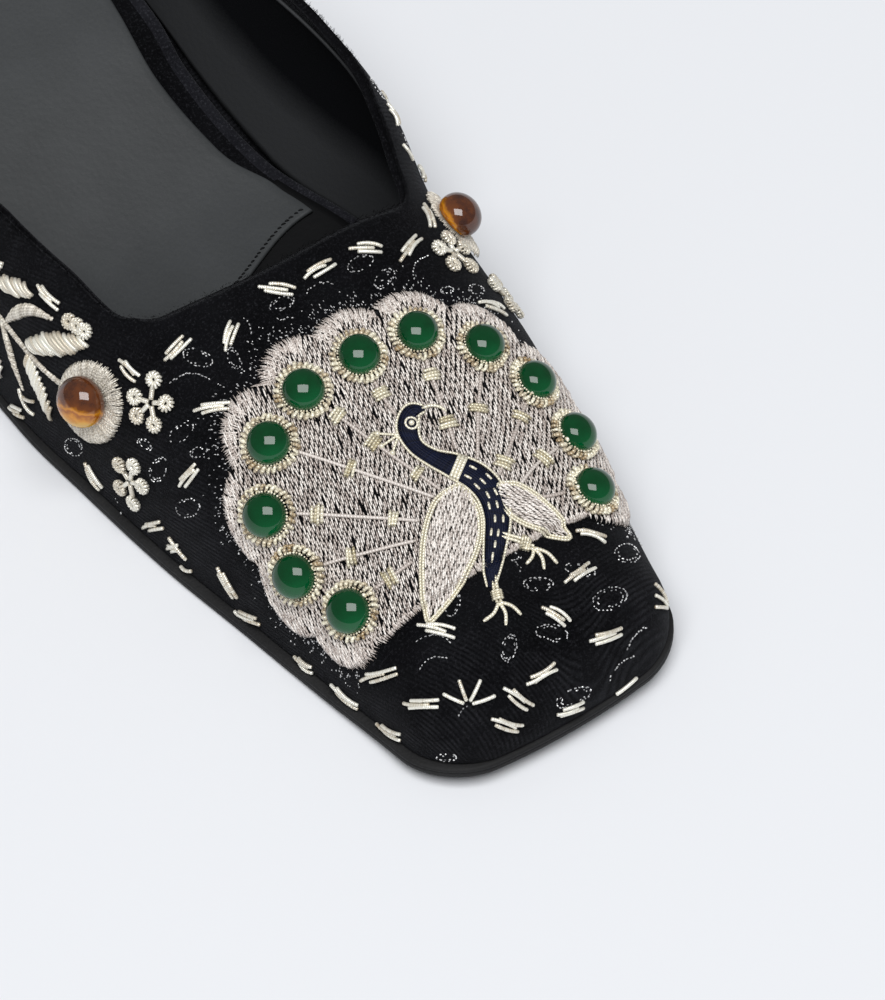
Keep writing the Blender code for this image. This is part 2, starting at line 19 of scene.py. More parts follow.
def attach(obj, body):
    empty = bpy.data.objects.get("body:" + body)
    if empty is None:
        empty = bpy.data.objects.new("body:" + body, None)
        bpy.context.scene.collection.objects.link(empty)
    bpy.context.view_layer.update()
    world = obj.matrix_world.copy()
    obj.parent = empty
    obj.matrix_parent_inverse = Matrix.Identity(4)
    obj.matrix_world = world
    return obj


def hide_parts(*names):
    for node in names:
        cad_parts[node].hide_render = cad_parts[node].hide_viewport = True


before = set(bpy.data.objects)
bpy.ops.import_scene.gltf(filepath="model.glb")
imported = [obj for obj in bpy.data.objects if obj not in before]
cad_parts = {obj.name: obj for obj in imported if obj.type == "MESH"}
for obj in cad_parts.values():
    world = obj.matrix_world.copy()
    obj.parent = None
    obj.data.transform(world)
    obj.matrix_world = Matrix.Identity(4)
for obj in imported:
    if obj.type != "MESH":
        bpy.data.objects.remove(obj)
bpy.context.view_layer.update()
RNG = np.random.default_rng(11)
rand, bell = RNG.uniform, RNG.normal
TAU = 2.0 * pi

MM = 0.001
LENGTH = 250.0
SIDE_SHIFT = 2.42
TOE_CORNER = 10.0
TOE_BOW = 2.2
TOE_BOW_END = 40.0
TOE_DOME = 13.0
DOME_POWER = 2.4
TOE_SPRING = 3.0
SPRING_END = 45.0
ARCH = (112.0, 172.0, 2.5)
HEEL_START = 222.0
HEEL_POWER = 2.3
GAP = 0.3
OUTSOLE = 2.4
SOLE_PROUD = 0.6
SOLE_FLARE = 0.75
BOARD = 3.2
SOCK = 0.9
SOCK_FRONT = 96.4
SOCK_TONGUE = 7.8
SOCK_HEEL = 4.8
SEAM_INSET = 1.05
SEAM_PITCH = 0.98
SEAM_SLANT = -22.0
SEAM_HALF_STITCH = 0.37
SEAM_THREAD = 0.15
WEDGE_FRONT = 117.0
WING_END = 176.0
THROAT = 80.0
THROAT_CORNER = 6.0
THROAT_BOW = 5.5
THROAT_BOW_REACH = 31.0
WALL = 2.0
VELVET_WALL = 1.6
LINING_DROP = 2.4
FEATHER_MARGIN = 1.1
RIB_PITCH = 0.72
PILE_COUNT = 5600
PILE_THREAD = 0.04
EDGING_RADIUS = 0.32

LAST = (
    # s, lateral, medial, crest, ridge, flank, full
    (0.0, -22.6, 24.0, 13.5, 0.0, 0.0, 2.6), (12.0, -23.8, 25.7, 17.5, 0.0, 0.0, 2.6),
    (28.0, -26.5, 28.9, 21.0, 0.5, 0.0, 2.6), (45.0, -29.6, 31.9, 25.5, 1.0, 0.0, 2.7),
    (62.0, -33.0, 33.2, 30.0, 1.5, 0.0, 2.9), (82.0, -35.9, 32.8, 35.0, 2.0, 0.0, 3.2),
    (98.0, -37.8, 30.4, 39.5, 3.0, 8.0, 3.3), (118.0, -38.2, 24.6, 46.0, 3.0, 17.0, 2.9),
    (140.0, -36.0, 22.6, 52.0, 3.0, 16.0, 2.7), (165.0, -32.5, 23.0, 58.0, 2.0, 8.0, 2.6),
    (195.0, -30.5, 25.0, 64.0, 2.0, 0.0, 2.6), (220.0, -30.0, 26.0, 66.0, 2.0, 0.0, 2.6),
    (250.0, -30.0, 26.0, 66.0, 2.0, 0.0, 2.6),
)
WEDGE_RISE = (
    # s, rise
    (0.0, 0.0), (108.0, 0.0), (125.0, 2.0), (150.0, 7.5),
    (185.0, 16.5), (220.0, 23.5), (250.0, 27.0),
)
TOPLINE = (
    # s, lateral, medial
    (78.0, 30.0, 28.5), (90.0, 31.5, 31.5), (100.0, 33.0, 33.7),
    (112.0, 33.4, 33.8), (126.0, 30.0, 31.0), (142.0, 22.5, 23.5),
    (158.0, 12.5, 13.5), (170.0, 5.6, 6.0), (176.0, 4.0, 4.2),
)
BOARD_INSET = (
    # s, lateral, medial
    (0.0, 2.5, 2.5), (97.0, 2.6, 2.6), (110.0, 2.6, 2.8),
    (126.0, 2.6, 3.7), (136.0, 2.6, 3.6), (146.0, 2.6, 2.7),
    (176.6, 2.6, 2.7), (179.0, 0.4, 0.4), (250.0, 0.4, 0.4),
)
SOCK_INSET = (
    # s, lateral, medial
    (95.0, 7.4, 8.8), (104.0, 7.4, 8.2), (110.0, 7.4, 7.4),
    (120.0, 7.4, 8.5), (136.0, 7.4, 9.2), (150.0, 7.2, 7.9),
    (176.0, 6.2, 6.2), (222.0, 5.0, 5.0), (250.0, 5.0, 5.0),
)
FAN_CENTRE = (-1.0, 36.0)
FAN_FIRST_ANGLE = 195.0
FAN_STEP = -21.7
FAN_HUB = 26.0
FAN_BASE = 21.3
SCALLOP = 7.7
FAN_TOP = 1.3
FIELD_WAY = (0.295, 1.132)        # direction of the fan's stitches in (a, s)
FIELD_PITCH = 0.31
FIELD_STITCH = 1.9
FIELD_THREAD = 0.17
FIELD_REACH = 46.0
FIELD_GAPS = 0.035
STONE_CLEAR = 3.3
STONES = (
    # distance of the lobe, size, angle and distance of the stone
    (24.8, 1.05, 197.5, 23.9), (28.3, 1.05, 173.0, 27.2), (29.2, 1.05, 153.0, 28.6),
    (28.5, 1.02, 133.0, 28.0), (26.4, 1.00, 113.5, 26.0), (25.0, 0.98, 89.7, 24.1),
    (25.8, 0.97, 66.2, 25.1), (26.4, 0.96, 43.2, 24.8), (27.2, 0.96, 22.1, 24.1),
    (27.8, 0.98, -1.5, 23.6), (25.0, 0.98, -28.2, 23.0),
)
STONE_RADIUS = 3.4
STONE_HEIGHT = 3.9
RING_RADIUS = 4.14
AMBERS = (
    # side, stone: a, s, radius, height, and the way towards which light gathered inside it is painted lighter
    ("lateral", -39.9, 83.75, 4.2, 5.1, (-0.62, -0.50, -0.60)),
    ("medial", 30.6, 76.4, 3.75, 4.75, (-0.90, 0.30, -0.28)),
)
AMBER_LIFT = 1.45
# Way towards which the emeralds' colour is painted lighter: painted light inside the glass.
GREEN_PAINTED_GLOW = (-0.13, -0.81, -0.52)
DISCS = (
    # a, s, reach across and along, tilt in degrees
    (-41.4, 83.8, 8.2, 5.8, -27.0),
    (33.4, 77.3, 4.4, 6.0, 0.0),
)
DISC_THREAD = 0.135

AZIMUTH = -34.6
ELEVATION = 55.0
LENS = 345.6
DISTANCE = 1.5
AIM = (0.00341, -0.08821, 0.0216)
KEY_ELEVATION = 72.0
KEY_POWER = 10.7
KEY_DISTANCE = 3.0
WORLD = 0.20
FLOOR_HALF = 2.5


# ---- lines and directions

def evenly(count):
    return linspace(0.0, 1.0, count)


def bounded(share):
    return clip(share, 0.0, 1.0)


def unit(rows):
    return rows / (norm(rows, axis=-1, keepdims=True) + 1e-12)


def runs(path):
    """Length along paths (..., k, n) up to each of their points."""
    steps = norm(np.diff(path, axis=-2), axis=-1)
    return np.insert(np.cumsum(steps, axis=-1), 0, 0.0, axis=-1)


def resample(rows, run, places):
    return stack([interp(places, run, column) for column in rows.T], axis=-1)


def circle(turn, across, along):
    """Directions at turns from the first axis towards the second."""
    return cos(turn)[..., None] * across + sin(turn)[..., None] * along


def beside(way):
    """Directions (..., 2) a quarter turn on."""
    return stack([-way[..., 1], way[..., 0]], axis=-1)


def spread(start, end, t):
    """Steps t from places start (..., 2) to end: all their a and all their s."""
    return [start[..., k, None] + (end - start)[..., k, None] * t for k in (0, 1)]


def loose_turns(count, loose):
    return TAU * (arange(count) + rand(-loose, loose, count)) / count


def smooth_step(value, low, high):
    t = bounded((value - low) / (high - low))
    return t * t * (3.0 - 2.0 * t)


def table(rows, column, s):
    """Smooth curve through one column of a table, without overshoot."""
    knots = array([row[0] for row in rows])
    values = array([row[column] for row in rows])
    step = np.diff(knots)
    rate = np.diff(values) / step
    slope = concatenate(([rate[0]], zeros(len(knots) - 2), [rate[-1]]))
    for i in range(1, len(knots) - 1):
        if rate[i - 1] * rate[i] > 0.0:
            before = 2.0 * step[i] + step[i - 1]
            after = step[i] + 2.0 * step[i - 1]
            slope[i] = (before + after) / (before / rate[i - 1] + after / rate[i])
    s = np.asarray(s, float)
    k = clip(np.searchsorted(knots, s, side="right") - 1, 0, len(knots) - 2)
    t = bounded((s - knots[k]) / step[k])
    start = values[k] * (1.0 + 2.0 * t) * (1.0 - t) ** 2 + slope[k] * step[k] * t * (1.0 - t) ** 2
    return start + values[k + 1] * t * t * (3.0 - 2.0 * t) + slope[k + 1] * step[k] * t * t * (t - 1.0)


# ---- shape of the shoe

def corner_round(distance, radius):
    """How far a rounded corner lies in at a distance from its side."""
    return radius - sqrt(radius**2 - clip(radius - distance, 0.0, radius) ** 2)


def half_lines(s, lateral_inset=0.0, medial_inset=0.0):
    trim = corner_round(s, TOE_CORNER)
    lateral = table(LAST, 1, s) + trim + lateral_inset
    medial = table(LAST, 2, s) - trim - medial_inset
    middle = (lateral + medial) / 2.0
    back = bounded((s - HEEL_START) / (LENGTH - HEEL_START))
    width = (medial - lateral) / 2.0 * (1.0 - back**HEEL_POWER) ** (1.0 / HEEL_POWER)
    return middle - width, middle + width


def toe_bow(s, x, middle):
    half = (table(LAST, 2, s) - table(LAST, 1, s)) / 2.0
    return TOE_BOW * ((x - middle) / half) ** 2 * bounded(1.0 - s / TOE_BOW_END) ** 2


def sole_lift(s):
    begin, end, lift = ARCH
    along = bounded((s - begin) / (end - begin))
    return TOE_SPRING * bounded(1.0 - s / SPRING_END) ** 2 + lift * sin(pi * along) ** 2


def feather(s):
    return sole_lift(s) + OUTSOLE + GAP + table(WEDGE_RISE, 1, s)


def section(s, angle):
    s, angle = np.broadcast_arrays(s, angle)
    lateral, medial = half_lines(s)
    full = table(LAST, 6, s)
    reach = (np.abs(cos(angle)) ** full + np.abs(sin(angle)) ** full) ** (-1.0 / full)
    across = -reach * cos(angle)
    up = np.abs(reach * sin(angle))
    crest = table(LAST, 3, s) * sqrt(1.0 - (1.0 - bounded(s / TOE_DOME)) ** DOME_POWER)
    middle = (lateral + medial) / 2.0
    x = middle + (medial - lateral) / 2.0 * across
    bow = toe_bow(s, x, middle)
    x = x + table(LAST, 4, s) * up + table(LAST, 5, s) * up * maximum(across, 0.0)
    return stack([x, s + bow, feather(s) + crest * up], axis=-1)


def toe_steps(count):
    return TOE_DOME * evenly(count)[:-1] ** 2


# The outer face, read once on a fine grid of stations and distances
TOE_ROWS = 49
STATIONS = concatenate([toe_steps(TOE_ROWS + 1), arange(TOE_DOME, 178.1, 0.5)])
ANGLES = linspace(0.0, pi, 361)
REACH = 90.0
STEP = 0.5


def read_skin():
    line = section(STATIONS[:, None], ANGLES)
    arc = runs(line[..., ::2])
    arc = arc - arc[:, 180:181]
    normal = unit(cross(gradient(line, axis=1), gradient(line, axis=0)))
    rows = concatenate([line, normal], axis=-1)
    places = arange(-REACH, REACH + STEP / 2.0, STEP)
    grid = array([resample(rows[i], arc[i], places) for i in range(len(STATIONS))])
    return grid, arc[:, 0], arc[:, -1]


SKIN, LATERAL_END, MEDIAL_END = read_skin()


def skin(a, s, lift=0.0):
    """Points of the outer face, lifted along the normal, and the normals."""
    a, s = np.broadcast_arrays(np.asarray(a, float), np.asarray(s, float))
    i = clip(np.searchsorted(STATIONS, s, side="right") - 1, 0, len(STATIONS) - 2)
    t = bounded((s - STATIONS[i]) / (STATIONS[i + 1] - STATIONS[i]))[..., None]
    place = clip((a + REACH) / STEP, 0.0, SKIN.shape[1] - 1.001)
    j = place.astype(int)
    u = (place - j)[..., None]
    low = SKIN[i, j] * (1.0 - u) + SKIN[i, j + 1] * u
    high = SKIN[i + 1, j] * (1.0 - u) + SKIN[i + 1, j + 1] * u
    both = low * (1.0 - t) + high * t
    normal = unit(both[..., 3:])
    return both[..., :3] + np.asarray(lift)[..., None] * normal, normal


def feather_ends(s):
    """Distances of the lateral and the medial feather line from the crest."""
    return interp(s, STATIONS, LATERAL_END), interp(s, STATIONS, MEDIAL_END)


# Runs of the toe's stations; behind the toe box they are the same as s
TOE_RUN = runs(section(STATIONS[:TOE_ROWS + 1], pi / 2.0))
TOE_RUN = TOE_DOME + TOE_RUN - TOE_RUN[-1]


def station(run):
    return interp(run, TOE_RUN, STATIONS[:TOE_ROWS + 1]) if run < TOE_DOME else run


def topline(s, side):
    """Distance from the crest to the topline of a wing; side is -1 or +1."""
    s = np.atleast_1d(s)
    column = 0 if side < 0 else 1
    height = table(TOPLINE, 1 + column, s)
    a = linspace(feather_ends(s)[column], 0.0, 200, axis=1)
    rise = skin(a, s[:, None])[0][..., 2] - feather(s)[:, None]
    return array([interp(*row) for row in zip(height, np.maximum.accumulate(rise, axis=1), a)])


def throat(a):
    return THROAT + THROAT_BOW * maximum(-a / THROAT_BOW_REACH, 0.0) ** 2


# ---- meshes

def add_piece(name, points, quads, finishes, slot_name, *nodes, fixed=False, slots=None, uv=None, **fields):
    """Piece from shoe coordinates.  quads is an (n, 4) array; a last corner of
    -1 makes a triangle.  uv is (n, 4, 2) in millimetres; fields are per vertex.
    fixed turns its faces outwards."""
    mesh = bpy.data.meshes.new(name)
    counts = where(quads[:, 3] < 0, 3, 4)
    used = quads[quads >= 0]
    mesh.vertices.add(len(points))
    mesh.vertices.foreach_set("co", ((points + (SIDE_SHIFT, -LENGTH / 2.0, 0.0)) * MM).ravel())
    mesh.loops.add(len(used))
    mesh.loops.foreach_set("vertex_index", used)
    mesh.polygons.add(len(quads))
    mesh.polygons.foreach_set("loop_start", np.cumsum(counts) - counts)
    mesh.polygons.foreach_set("loop_total", counts)
    for finish in finishes:
        mesh.materials.append(finish)
    if slots is not None:
        mesh.polygons.foreach_set("material_index", slots.astype(np.int32))
    mesh.polygons.foreach_set("use_smooth", np.full(len(quads), True))
    if uv is not None:
        mesh.uv_layers.new(name="UVMap").data.foreach_set("uv", uv[quads >= 0].ravel())
    for field, values in fields.items():
        values = broadcast_to(values, len(points)).astype(float)
        mesh.attributes.new(field, "FLOAT", "POINT").data.foreach_set("value", values)
    mesh.update(calc_edges=True)
    mesh.validate()
    if fixed:
        fix_outwards(mesh)
    piece = show(name, mesh)
    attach(piece, "root")
    if nodes:
        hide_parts(*nodes)


def show(name, data):
    thing = bpy.data.objects.new(name, data)
    bpy.context.collection.objects.link(thing)
    return thing


def fix_outwards(mesh):
    work = bmesh.new()
    work.from_mesh(mesh)
    bmesh.ops.remove_doubles(work, verts=work.verts, dist=1e-6)
    bmesh.ops.recalc_face_normals(work, faces=work.faces)
    work.to_mesh(mesh)
    work.free()
    mesh.shade_smooth()


def numbered(grid, first=0):
    return first + arange(grid.size).reshape(grid.shape)


def grid_quads(index):
    corners = [index[:-1, :-1], index[:-1, 1:], index[1:, 1:], index[1:, :-1]]
    return stack(corners, axis=-1).reshape(-1, 4)


def cap_faces(rings, flip=False):
    """Faces closing rings of vertex numbers (n, sides)."""
    rings = np.pad(rings[:, ::-1] if flip else rings, ((0, 0), (0, 1)), constant_values=-1)
    corners = [rings[:, [0, i, i + 1, i + 2]] for i in range(1, rings.shape[1] - 2, 2)]
    return concatenate(corners)


class Strands:
    """Gathers tubes and balls of thread or metal into one joined mesh."""

    def __init__(self):
        self.parts, self.count = [], 0

    def join(self, points, tone, uv=0.0):
        """Closed tubes over rings of points (n, k, sides, 3)."""
        index = numbered(points[..., 0], self.count)
        after = np.roll(index, -1, axis=2)
        walls = stack([index[:, :-1], after[:, :-1], after[:, 1:], index[:, 1:]], axis=-1).reshape(-1, 4)
        quads = concatenate([walls, cap_faces(index[:, 0], True), cap_faces(index[:, -1])])
        layer = zeros((len(quads), 4, 2))
        layer[:len(walls)] = uv
        self.parts.append((points.reshape(-1, 3), quads, layer, broadcast_to(tone, index.shape).ravel()))
        self.count += index.size

    def add(self, path, up, radius, sides=6, flat=1.0, tone=0.5):
        """Tubes along path (n, k, 3) or (k, 3), with radius (n, k) or less; flat squashes
        them along up; tone is one number, or one a tube, or (n, k)."""
        path = path.reshape(-1, *path.shape[-2:])
        tangent = unit(gradient(path, axis=1))
        side = unit(cross(tangent, up))
        rise = cross(side, tangent)
        turn = TAU * (arange(sides) + 0.5) / sides
        ring = circle(turn, side[:, :, None], flat * rise[:, :, None])
        points = path[:, :, None] + broadcast_to(radius, path.shape[:2])[..., None, None] * ring
        run = runs(path)
        u = stack([run[:, :-1], run[:, :-1], run[:, 1:], run[:, 1:]], axis=-1)[:, :, None]
        v = (arange(sides)[:, None] + array([0, 1, 1, 0])) / sides
        uv = stack(np.broadcast_arrays(u, v), axis=-1).reshape(-1, 4, 2)
        tone = np.asarray(tone)
        self.join(points, tone[:, :, None] if tone.ndim == 2 else tone.reshape(-1, 1, 1), uv)

    def sew(self, a, s, lift, radius, **look):
        """Tubes through places of the upper."""
        self.add(*skin(a, s, lift), radius, **look)

    def add_balls(self, centres, axes, radius, tone, sides=6, rows=4):
        """Low balls round centres (n, 3), upright on axes."""
        turn = TAU * arange(sides) / sides
        tilt = pi * (rows - 0.5 - arange(rows))[:, None, None] / rows
        axes = broadcast_to(axes, centres.shape)
        helper = unit(cross(axes, array([0.31, 0.93, 0.2])))
        ring = circle(turn, helper[:, None, None], cross(axes, helper)[:, None, None])
        away = sin(tilt) * ring + cos(tilt) * axes[:, None, None]
        radius, tone = (np.reshape(value, (-1, 1, 1)) for value in (radius, tone))
        self.join(centres[:, None, None] + radius[..., None] * away, tone)

    def piece(self, name, finish, slot_name, *nodes):
        points, quads, uv, tone = (concatenate(rows) for rows in zip(*self.parts))
        add_piece(name, points, quads, [finish], slot_name, *nodes, uv=uv, tone=tone)


# ---- materials

class Nodes:
    """Short-hand for a material's node tree; a value may be a socket to link."""

    def __init__(self, name):
        self.made = bpy.data.materials.new(name)
        self.made.use_nodes = True
        self.tree = self.made.node_tree
        place = self.add("TexCoord").outputs["Object"]
        self.mm = self.add("VectorMath", operation="SCALE", Vector=place, Scale=1.0 / MM).outputs[0]

    def feed(self, socket, value):
        if isinstance(value, bpy.types.NodeSocket):
            self.tree.links.new(value, socket)
        else:
            socket.default_value = value

    def put(self, node, **values):
        for key, value in values.items():
            if hasattr(node, key):
                setattr(node, key, value)
            else:
                self.feed(node.inputs[key.replace("_", " ")], value)
        return node

    def add(self, kind, **values):
        return self.put(self.tree.nodes.new("ShaderNode" + kind), **values)

    def finish(self, **values):
        self.put(self.tree.nodes["Principled BSDF"], **values)
        return self.made

    def field(self, name):
        return self.add("Attribute", attribute_name=name).outputs["Fac"]

    def noise(self, scale, detail=3.0, rough=0.5):
        node = self.add("TexNoise", Vector=self.mm, Scale=scale, Detail=detail, Roughness=rough)
        return node.outputs["Fac"]

    def ramp(self, source, *stops):
        """Stops are a position and a colour or a grey."""
        node = self.add("ValToRGB", Fac=source)
        elements = node.color_ramp.elements
        while len(elements) < len(stops):
            elements.new(0.5)
        for element, (place, colour) in zip(elements, stops):
            element.position = place
            element.color = (*broadcast_to(colour, 3), 1.0)
        return node.outputs["Color"]

    def math(self, operation, *values):
        node = self.add("Math", operation=operation)
        for socket, value in zip(node.inputs, values):
            self.feed(socket, value)
        return node.outputs[0]

    def mix(self, *pairs):
        """Sum of values, each times its share."""
        total, *others = [self.math("MULTIPLY", value, share) for value, share in pairs]
        for other in others:
            total = self.math("ADD", total, other)
        return total

    def wave(self, phase):
        return self.math("ADD", self.math("MULTIPLY", self.math("SINE", phase), 0.5), 0.5)

    def lighten(self, colour, share, extra):
        return self.add("MixRGB", blend_type="ADD", Fac=share, Color1=colour, Color2=(*extra, 1.0)).outputs[0]

    def bump(self, height, distance, strength=1.0, **previous):
        node = self.add("Bump", Height=height, Distance=distance * MM, Strength=strength, **previous)
        return node.outputs["Normal"]


def velvet_finish(name, ribbed=False, pale=1.0):
    # pale above 1 lightens the whole velvet, making a lit copy of it: painted sheen.
    n = Nodes(name)
    fine = n.noise(1.6, 4.0, 0.7)
    colour = n.ramp(n.mix((n.noise(0.09), 0.6), (fine, 0.4)), (0.35, pale * array([0.0010, 0.0010, 0.0014])),
                    (0.65, pale * array([0.0044, 0.0045, 0.0056])))
    speck = n.ramp(n.noise(2.4, 3.0, 0.75), (0.53, 0.0), (0.76, 1.0))
    colour = n.lighten(colour, n.math("MULTIPLY", speck, 0.75), sqrt(pale) * array([0.022, 0.0225, 0.026]))
    normal = n.bump(n.mix((fine, 0.7), (n.noise(7.0, 2.0, 0.6), 1.0)), 0.14, 0.9)
    # Ribbed: the velvet's rows as bumps, and also painted lighter where the show field and the sheen patches
    # allow: painted sheen on the rows.
    if ribbed:
        phase = n.mix((n.field("rib"), TAU / RIB_PITCH), (n.noise(0.5, 2.0), 1.6))
        sheen_patches = n.ramp(n.noise(0.22, 3.0, 0.6), (0.40, 0.05), (0.66, 0.75))
        rib = n.math("MULTIPLY", n.wave(phase), n.math("MULTIPLY", n.field("show"), sheen_patches))
        normal = n.bump(rib, 0.13, Normal=normal)
        # Rows painted lighter: painted sheen.
        colour = n.lighten(colour, n.math("MULTIPLY", rib, 0.85), (0.017, 0.0175, 0.0200))
    return n.finish(Base_Color=colour, Normal=normal, Roughness=0.92, Specular_IOR_Level=0.06,
                    Sheen_Weight=0.14, Sheen_Roughness=0.4, Sheen_Tint=(0.34, 0.35, 0.38, 1.0))


def leather_finish(name, dark, light, roughness, grain=1.1, depth=0.05, gloss=0.35, faded=False):
    n = Nodes(name)
    cells = n.add("TexVoronoi", feature="SMOOTH_F1", Scale=grain, Vector=n.mm).outputs["Distance"]
    fine = n.noise(2.5, 5.0, 0.65)
    mixed = n.mix((n.noise(0.035, 3.0, 0.55), 0.75), (fine, 0.25))
    # Painted light and shade by height: the fade field makes the leather lighter low down and darker towards
    # the top edge.
    if faded:
        mixed = n.mix((mixed, 0.35), (n.field("fade"), 0.65))
    rough = n.add("MapRange", Value=fine, To_Min=roughness - 0.07, To_Max=roughness + 0.09).outputs[0]
    return n.finish(Base_Color=n.ramp(mixed, (0.32, dark), (0.66, light)), Roughness=rough,
                    Normal=n.bump(n.mix((cells, 1.0), (fine, 0.8)), depth, 0.6), Specular_IOR_Level=gloss)


def thread_finish(name, dark, light, roughness, metallic, pitch, depth=0.05, gloss=0.5):
    """Twisted metal thread: uv runs along the strand and round it. The twist is bumped and also painted
    lighter on its crests and darker in its grooves: painted highlight and shade.
    """
    n = Nodes(name)
    split = n.add("SeparateXYZ", Vector=n.add("UVMap", uv_map="UVMap").outputs["UV"]).outputs
    twist = n.wave(n.mix((split[0], TAU / pitch), (split[1], TAU)))
    painted_twist_shade = n.math("SUBTRACT", twist, 0.5)
    # Twist crests painted lighter, grooves darker: painted highlight and shade.
    mixed = n.mix((n.field("tone"), 0.7), (n.noise(3.0, 3.0, 0.6), 0.3), (painted_twist_shade, 0.28))
    return n.finish(Base_Color=n.ramp(mixed, (0.15, dark), (0.85, light)), Normal=n.bump(twist, depth, 0.9),
                    Roughness=roughness, Metallic=metallic, Specular_IOR_Level=gloss)


def glass_finish(name, cloud, shares, stops, bump, **sockets):
    """Glass whose base colour is painted lighter where the glow field says, standing in for light gathered
    inside it: painted light; and a little cloud.
    """
    n = Nodes(name)
    mixed = n.mix((n.noise(*cloud), shares[0]), (n.field("glow"), shares[1]))
    normal = n.bump(n.noise(0.4, 2.0), *bump)
    return n.finish(Base_Color=n.ramp(mixed, *stops), Normal=normal, **sockets)


# ---- upper and lining

class Sheet:
    """Sheet over the vamp and the wings whose rim stays inset behind the upper's
    own: places a and s, quads, chains along the rim and the feather line."""

    def __init__(self, inset=0.0, side=40, top_columns=56, pitch=1.1):
        at_corner = THROAT_CORNER * (1.0 - sqrt(0.5))
        outer_corner = topline(THROAT + 5.0 - inset, -1)[0] - inset
        inner_corner = topline(THROAT - inset, 1)[0] + inset
        top = linspace(outer_corner + at_corner, inner_corner - at_corner, top_columns + 1)
        end_row = throat(top) - inset + corner_round(top - outer_corner, THROAT_CORNER)
        end_row = np.pad(end_row + corner_round(inner_corner - top, THROAT_CORNER), side, mode="edge")
        stations = linspace(TOE_DOME, THROAT, round((THROAT - TOE_DOME) / pitch) + 1)
        stations = concatenate([toe_steps(17), stations])[:, None]
        s = stations + (end_row - THROAT) * bounded((stations - 30.0) / (THROAT - 30.0)) ** 2
        low, high = feather_ends(s[:, 0])[0], feather_ends(s[:, -1])[1]
        left = top[0] * low / feather_ends(end_row[0])[0]
        right = top[-1] * high / feather_ends(end_row[-1])[1]
        a = hstack([linspace(low, left, side + 1, axis=1)[:, :-1],
                    linspace(left, right, top_columns + 1, axis=1),
                    linspace(right, high, side + 1, axis=1)[:, 1:]])
        index = numbered(a)
        quads, a_all, s_all = [grid_quads(index)], [a.ravel()], [s.ravel()]
        used, wings = a.size, []
        wing_edges = ((-1, end_row[0], index[-1, :side + 1]), (1, end_row[-1], index[-1, -side - 1:]))
        for sign, begin, edge in wing_edges:
            wing_s = linspace(begin, WING_END, round((WING_END - begin) / pitch) + 1)[1:]
            rounded = corner_round(wing_s - begin + at_corner, THROAT_CORNER)
            rim = topline(wing_s, sign) - sign * (rounded - inset)
            end = feather_ends(wing_s)[0 if sign < 0 else 1]
            rim = sign * minimum(sign * rim, sign * end)
            a = linspace(*(end, rim)[::-sign], side + 1, axis=1)
            a_all.append(a.ravel())
            s_all.append(np.repeat(wing_s, side + 1))
            wings.append(vstack([edge, numbered(a, used)]))
            quads.append(grid_quads(wings[-1]))
            used += a.size
        lateral, medial = wings
        self.a, self.s, self.quads = (concatenate(rows) for rows in (a_all, s_all, quads))
        self.rim = concatenate([lateral[-1], lateral[-2::-1, -1], index[-1, side + 1:-side - 1],
                                medial[:, 0], medial[-1, 1:]])
        self.feather = concatenate([lateral[::-1, 0], index[-2::-1, 0], index[0, 1:],
                                    index[1:, -1], medial[1:, -1]])
        self.outer = skin(self.a, self.s)[0]
        corners = self.outer[self.quads]
        area = cross(corners[:, 2] - corners[:, 0], corners[:, 3] - corners[:, 1])
        normals = zeros(self.outer.shape)
        for corner in range(4):
            np.add.at(normals, self.quads[:, corner], area)
        self.normals = unit(normals) * (-1.0 if normals[:, 2].mean() < 0.0 else 1.0)

    def wall(self, near, far, bulge, turns):
        """Closed wall between two depths below the outer face: a rolled rim, and
        flat at the feather."""
        faces = [self.outer - depth * self.normals for depth in (near, far)]
        grounded = self.outer[:, 2] < feather(self.s) + 0.01
        for face in faces:
            face[grounded, 2] = self.outer[grounded, 2]
        top, below = (face[self.rim] for face in faces)
        out = unit(cross(gradient(top, axis=0), top - below))
        count, edge = len(self.outer), len(self.rim)
        rings = [self.rim]
        for k in range(1, turns):
            roll = pi * k / turns
            faces.append((top + below + cos(roll) * (top - below)) / 2.0 + bulge * sin(roll) * out)
            rings.append(2 * count + (k - 1) * edge + arange(edge))
        rings.append(count + self.rim)
        walls = [self.quads, count + self.quads[:, ::-1], grid_quads(array(rings)),
                 grid_quads(array([self.feather, count + self.feather]))]
        return concatenate(faces), concatenate(walls)


def make_upper(sheet, velvet):
    points, walls = sheet.wall(0.0, VELVET_WALL, 0.75, 5)
    a, s = sheet.a, sheet.s
    w = smooth_step(a, -8.0, 12.0)
    rib = w * (0.98 * s - 0.14 * a) + (1.0 - w) * (0.88 * a + 0.47 * s)
    # show: how strongly the rows are painted lighter, full on the steep side walls and the toe's front,
    # nearly none on the vamp's top behind the toe: painted sheen where light grazes.
    show = 0.04 + 0.96 * maximum(smooth_step(np.abs(a), 24.0, 38.0), smooth_step(20.0 - s, 0.0, 14.0))
    show *= 1.0 - smooth_step(s, 30.0, 40.0) * (1.0 - smooth_step(np.abs(a - 2.0), 10.0, 16.0))
    extra = zeros(len(points) - 2 * len(a))
    add_piece("velvet_upper", points, walls, [velvet], "velvet", "upper", fixed=True,
              rib=concatenate([rib, rib, extra]), show=concatenate([show, zeros(len(a)), extra]))


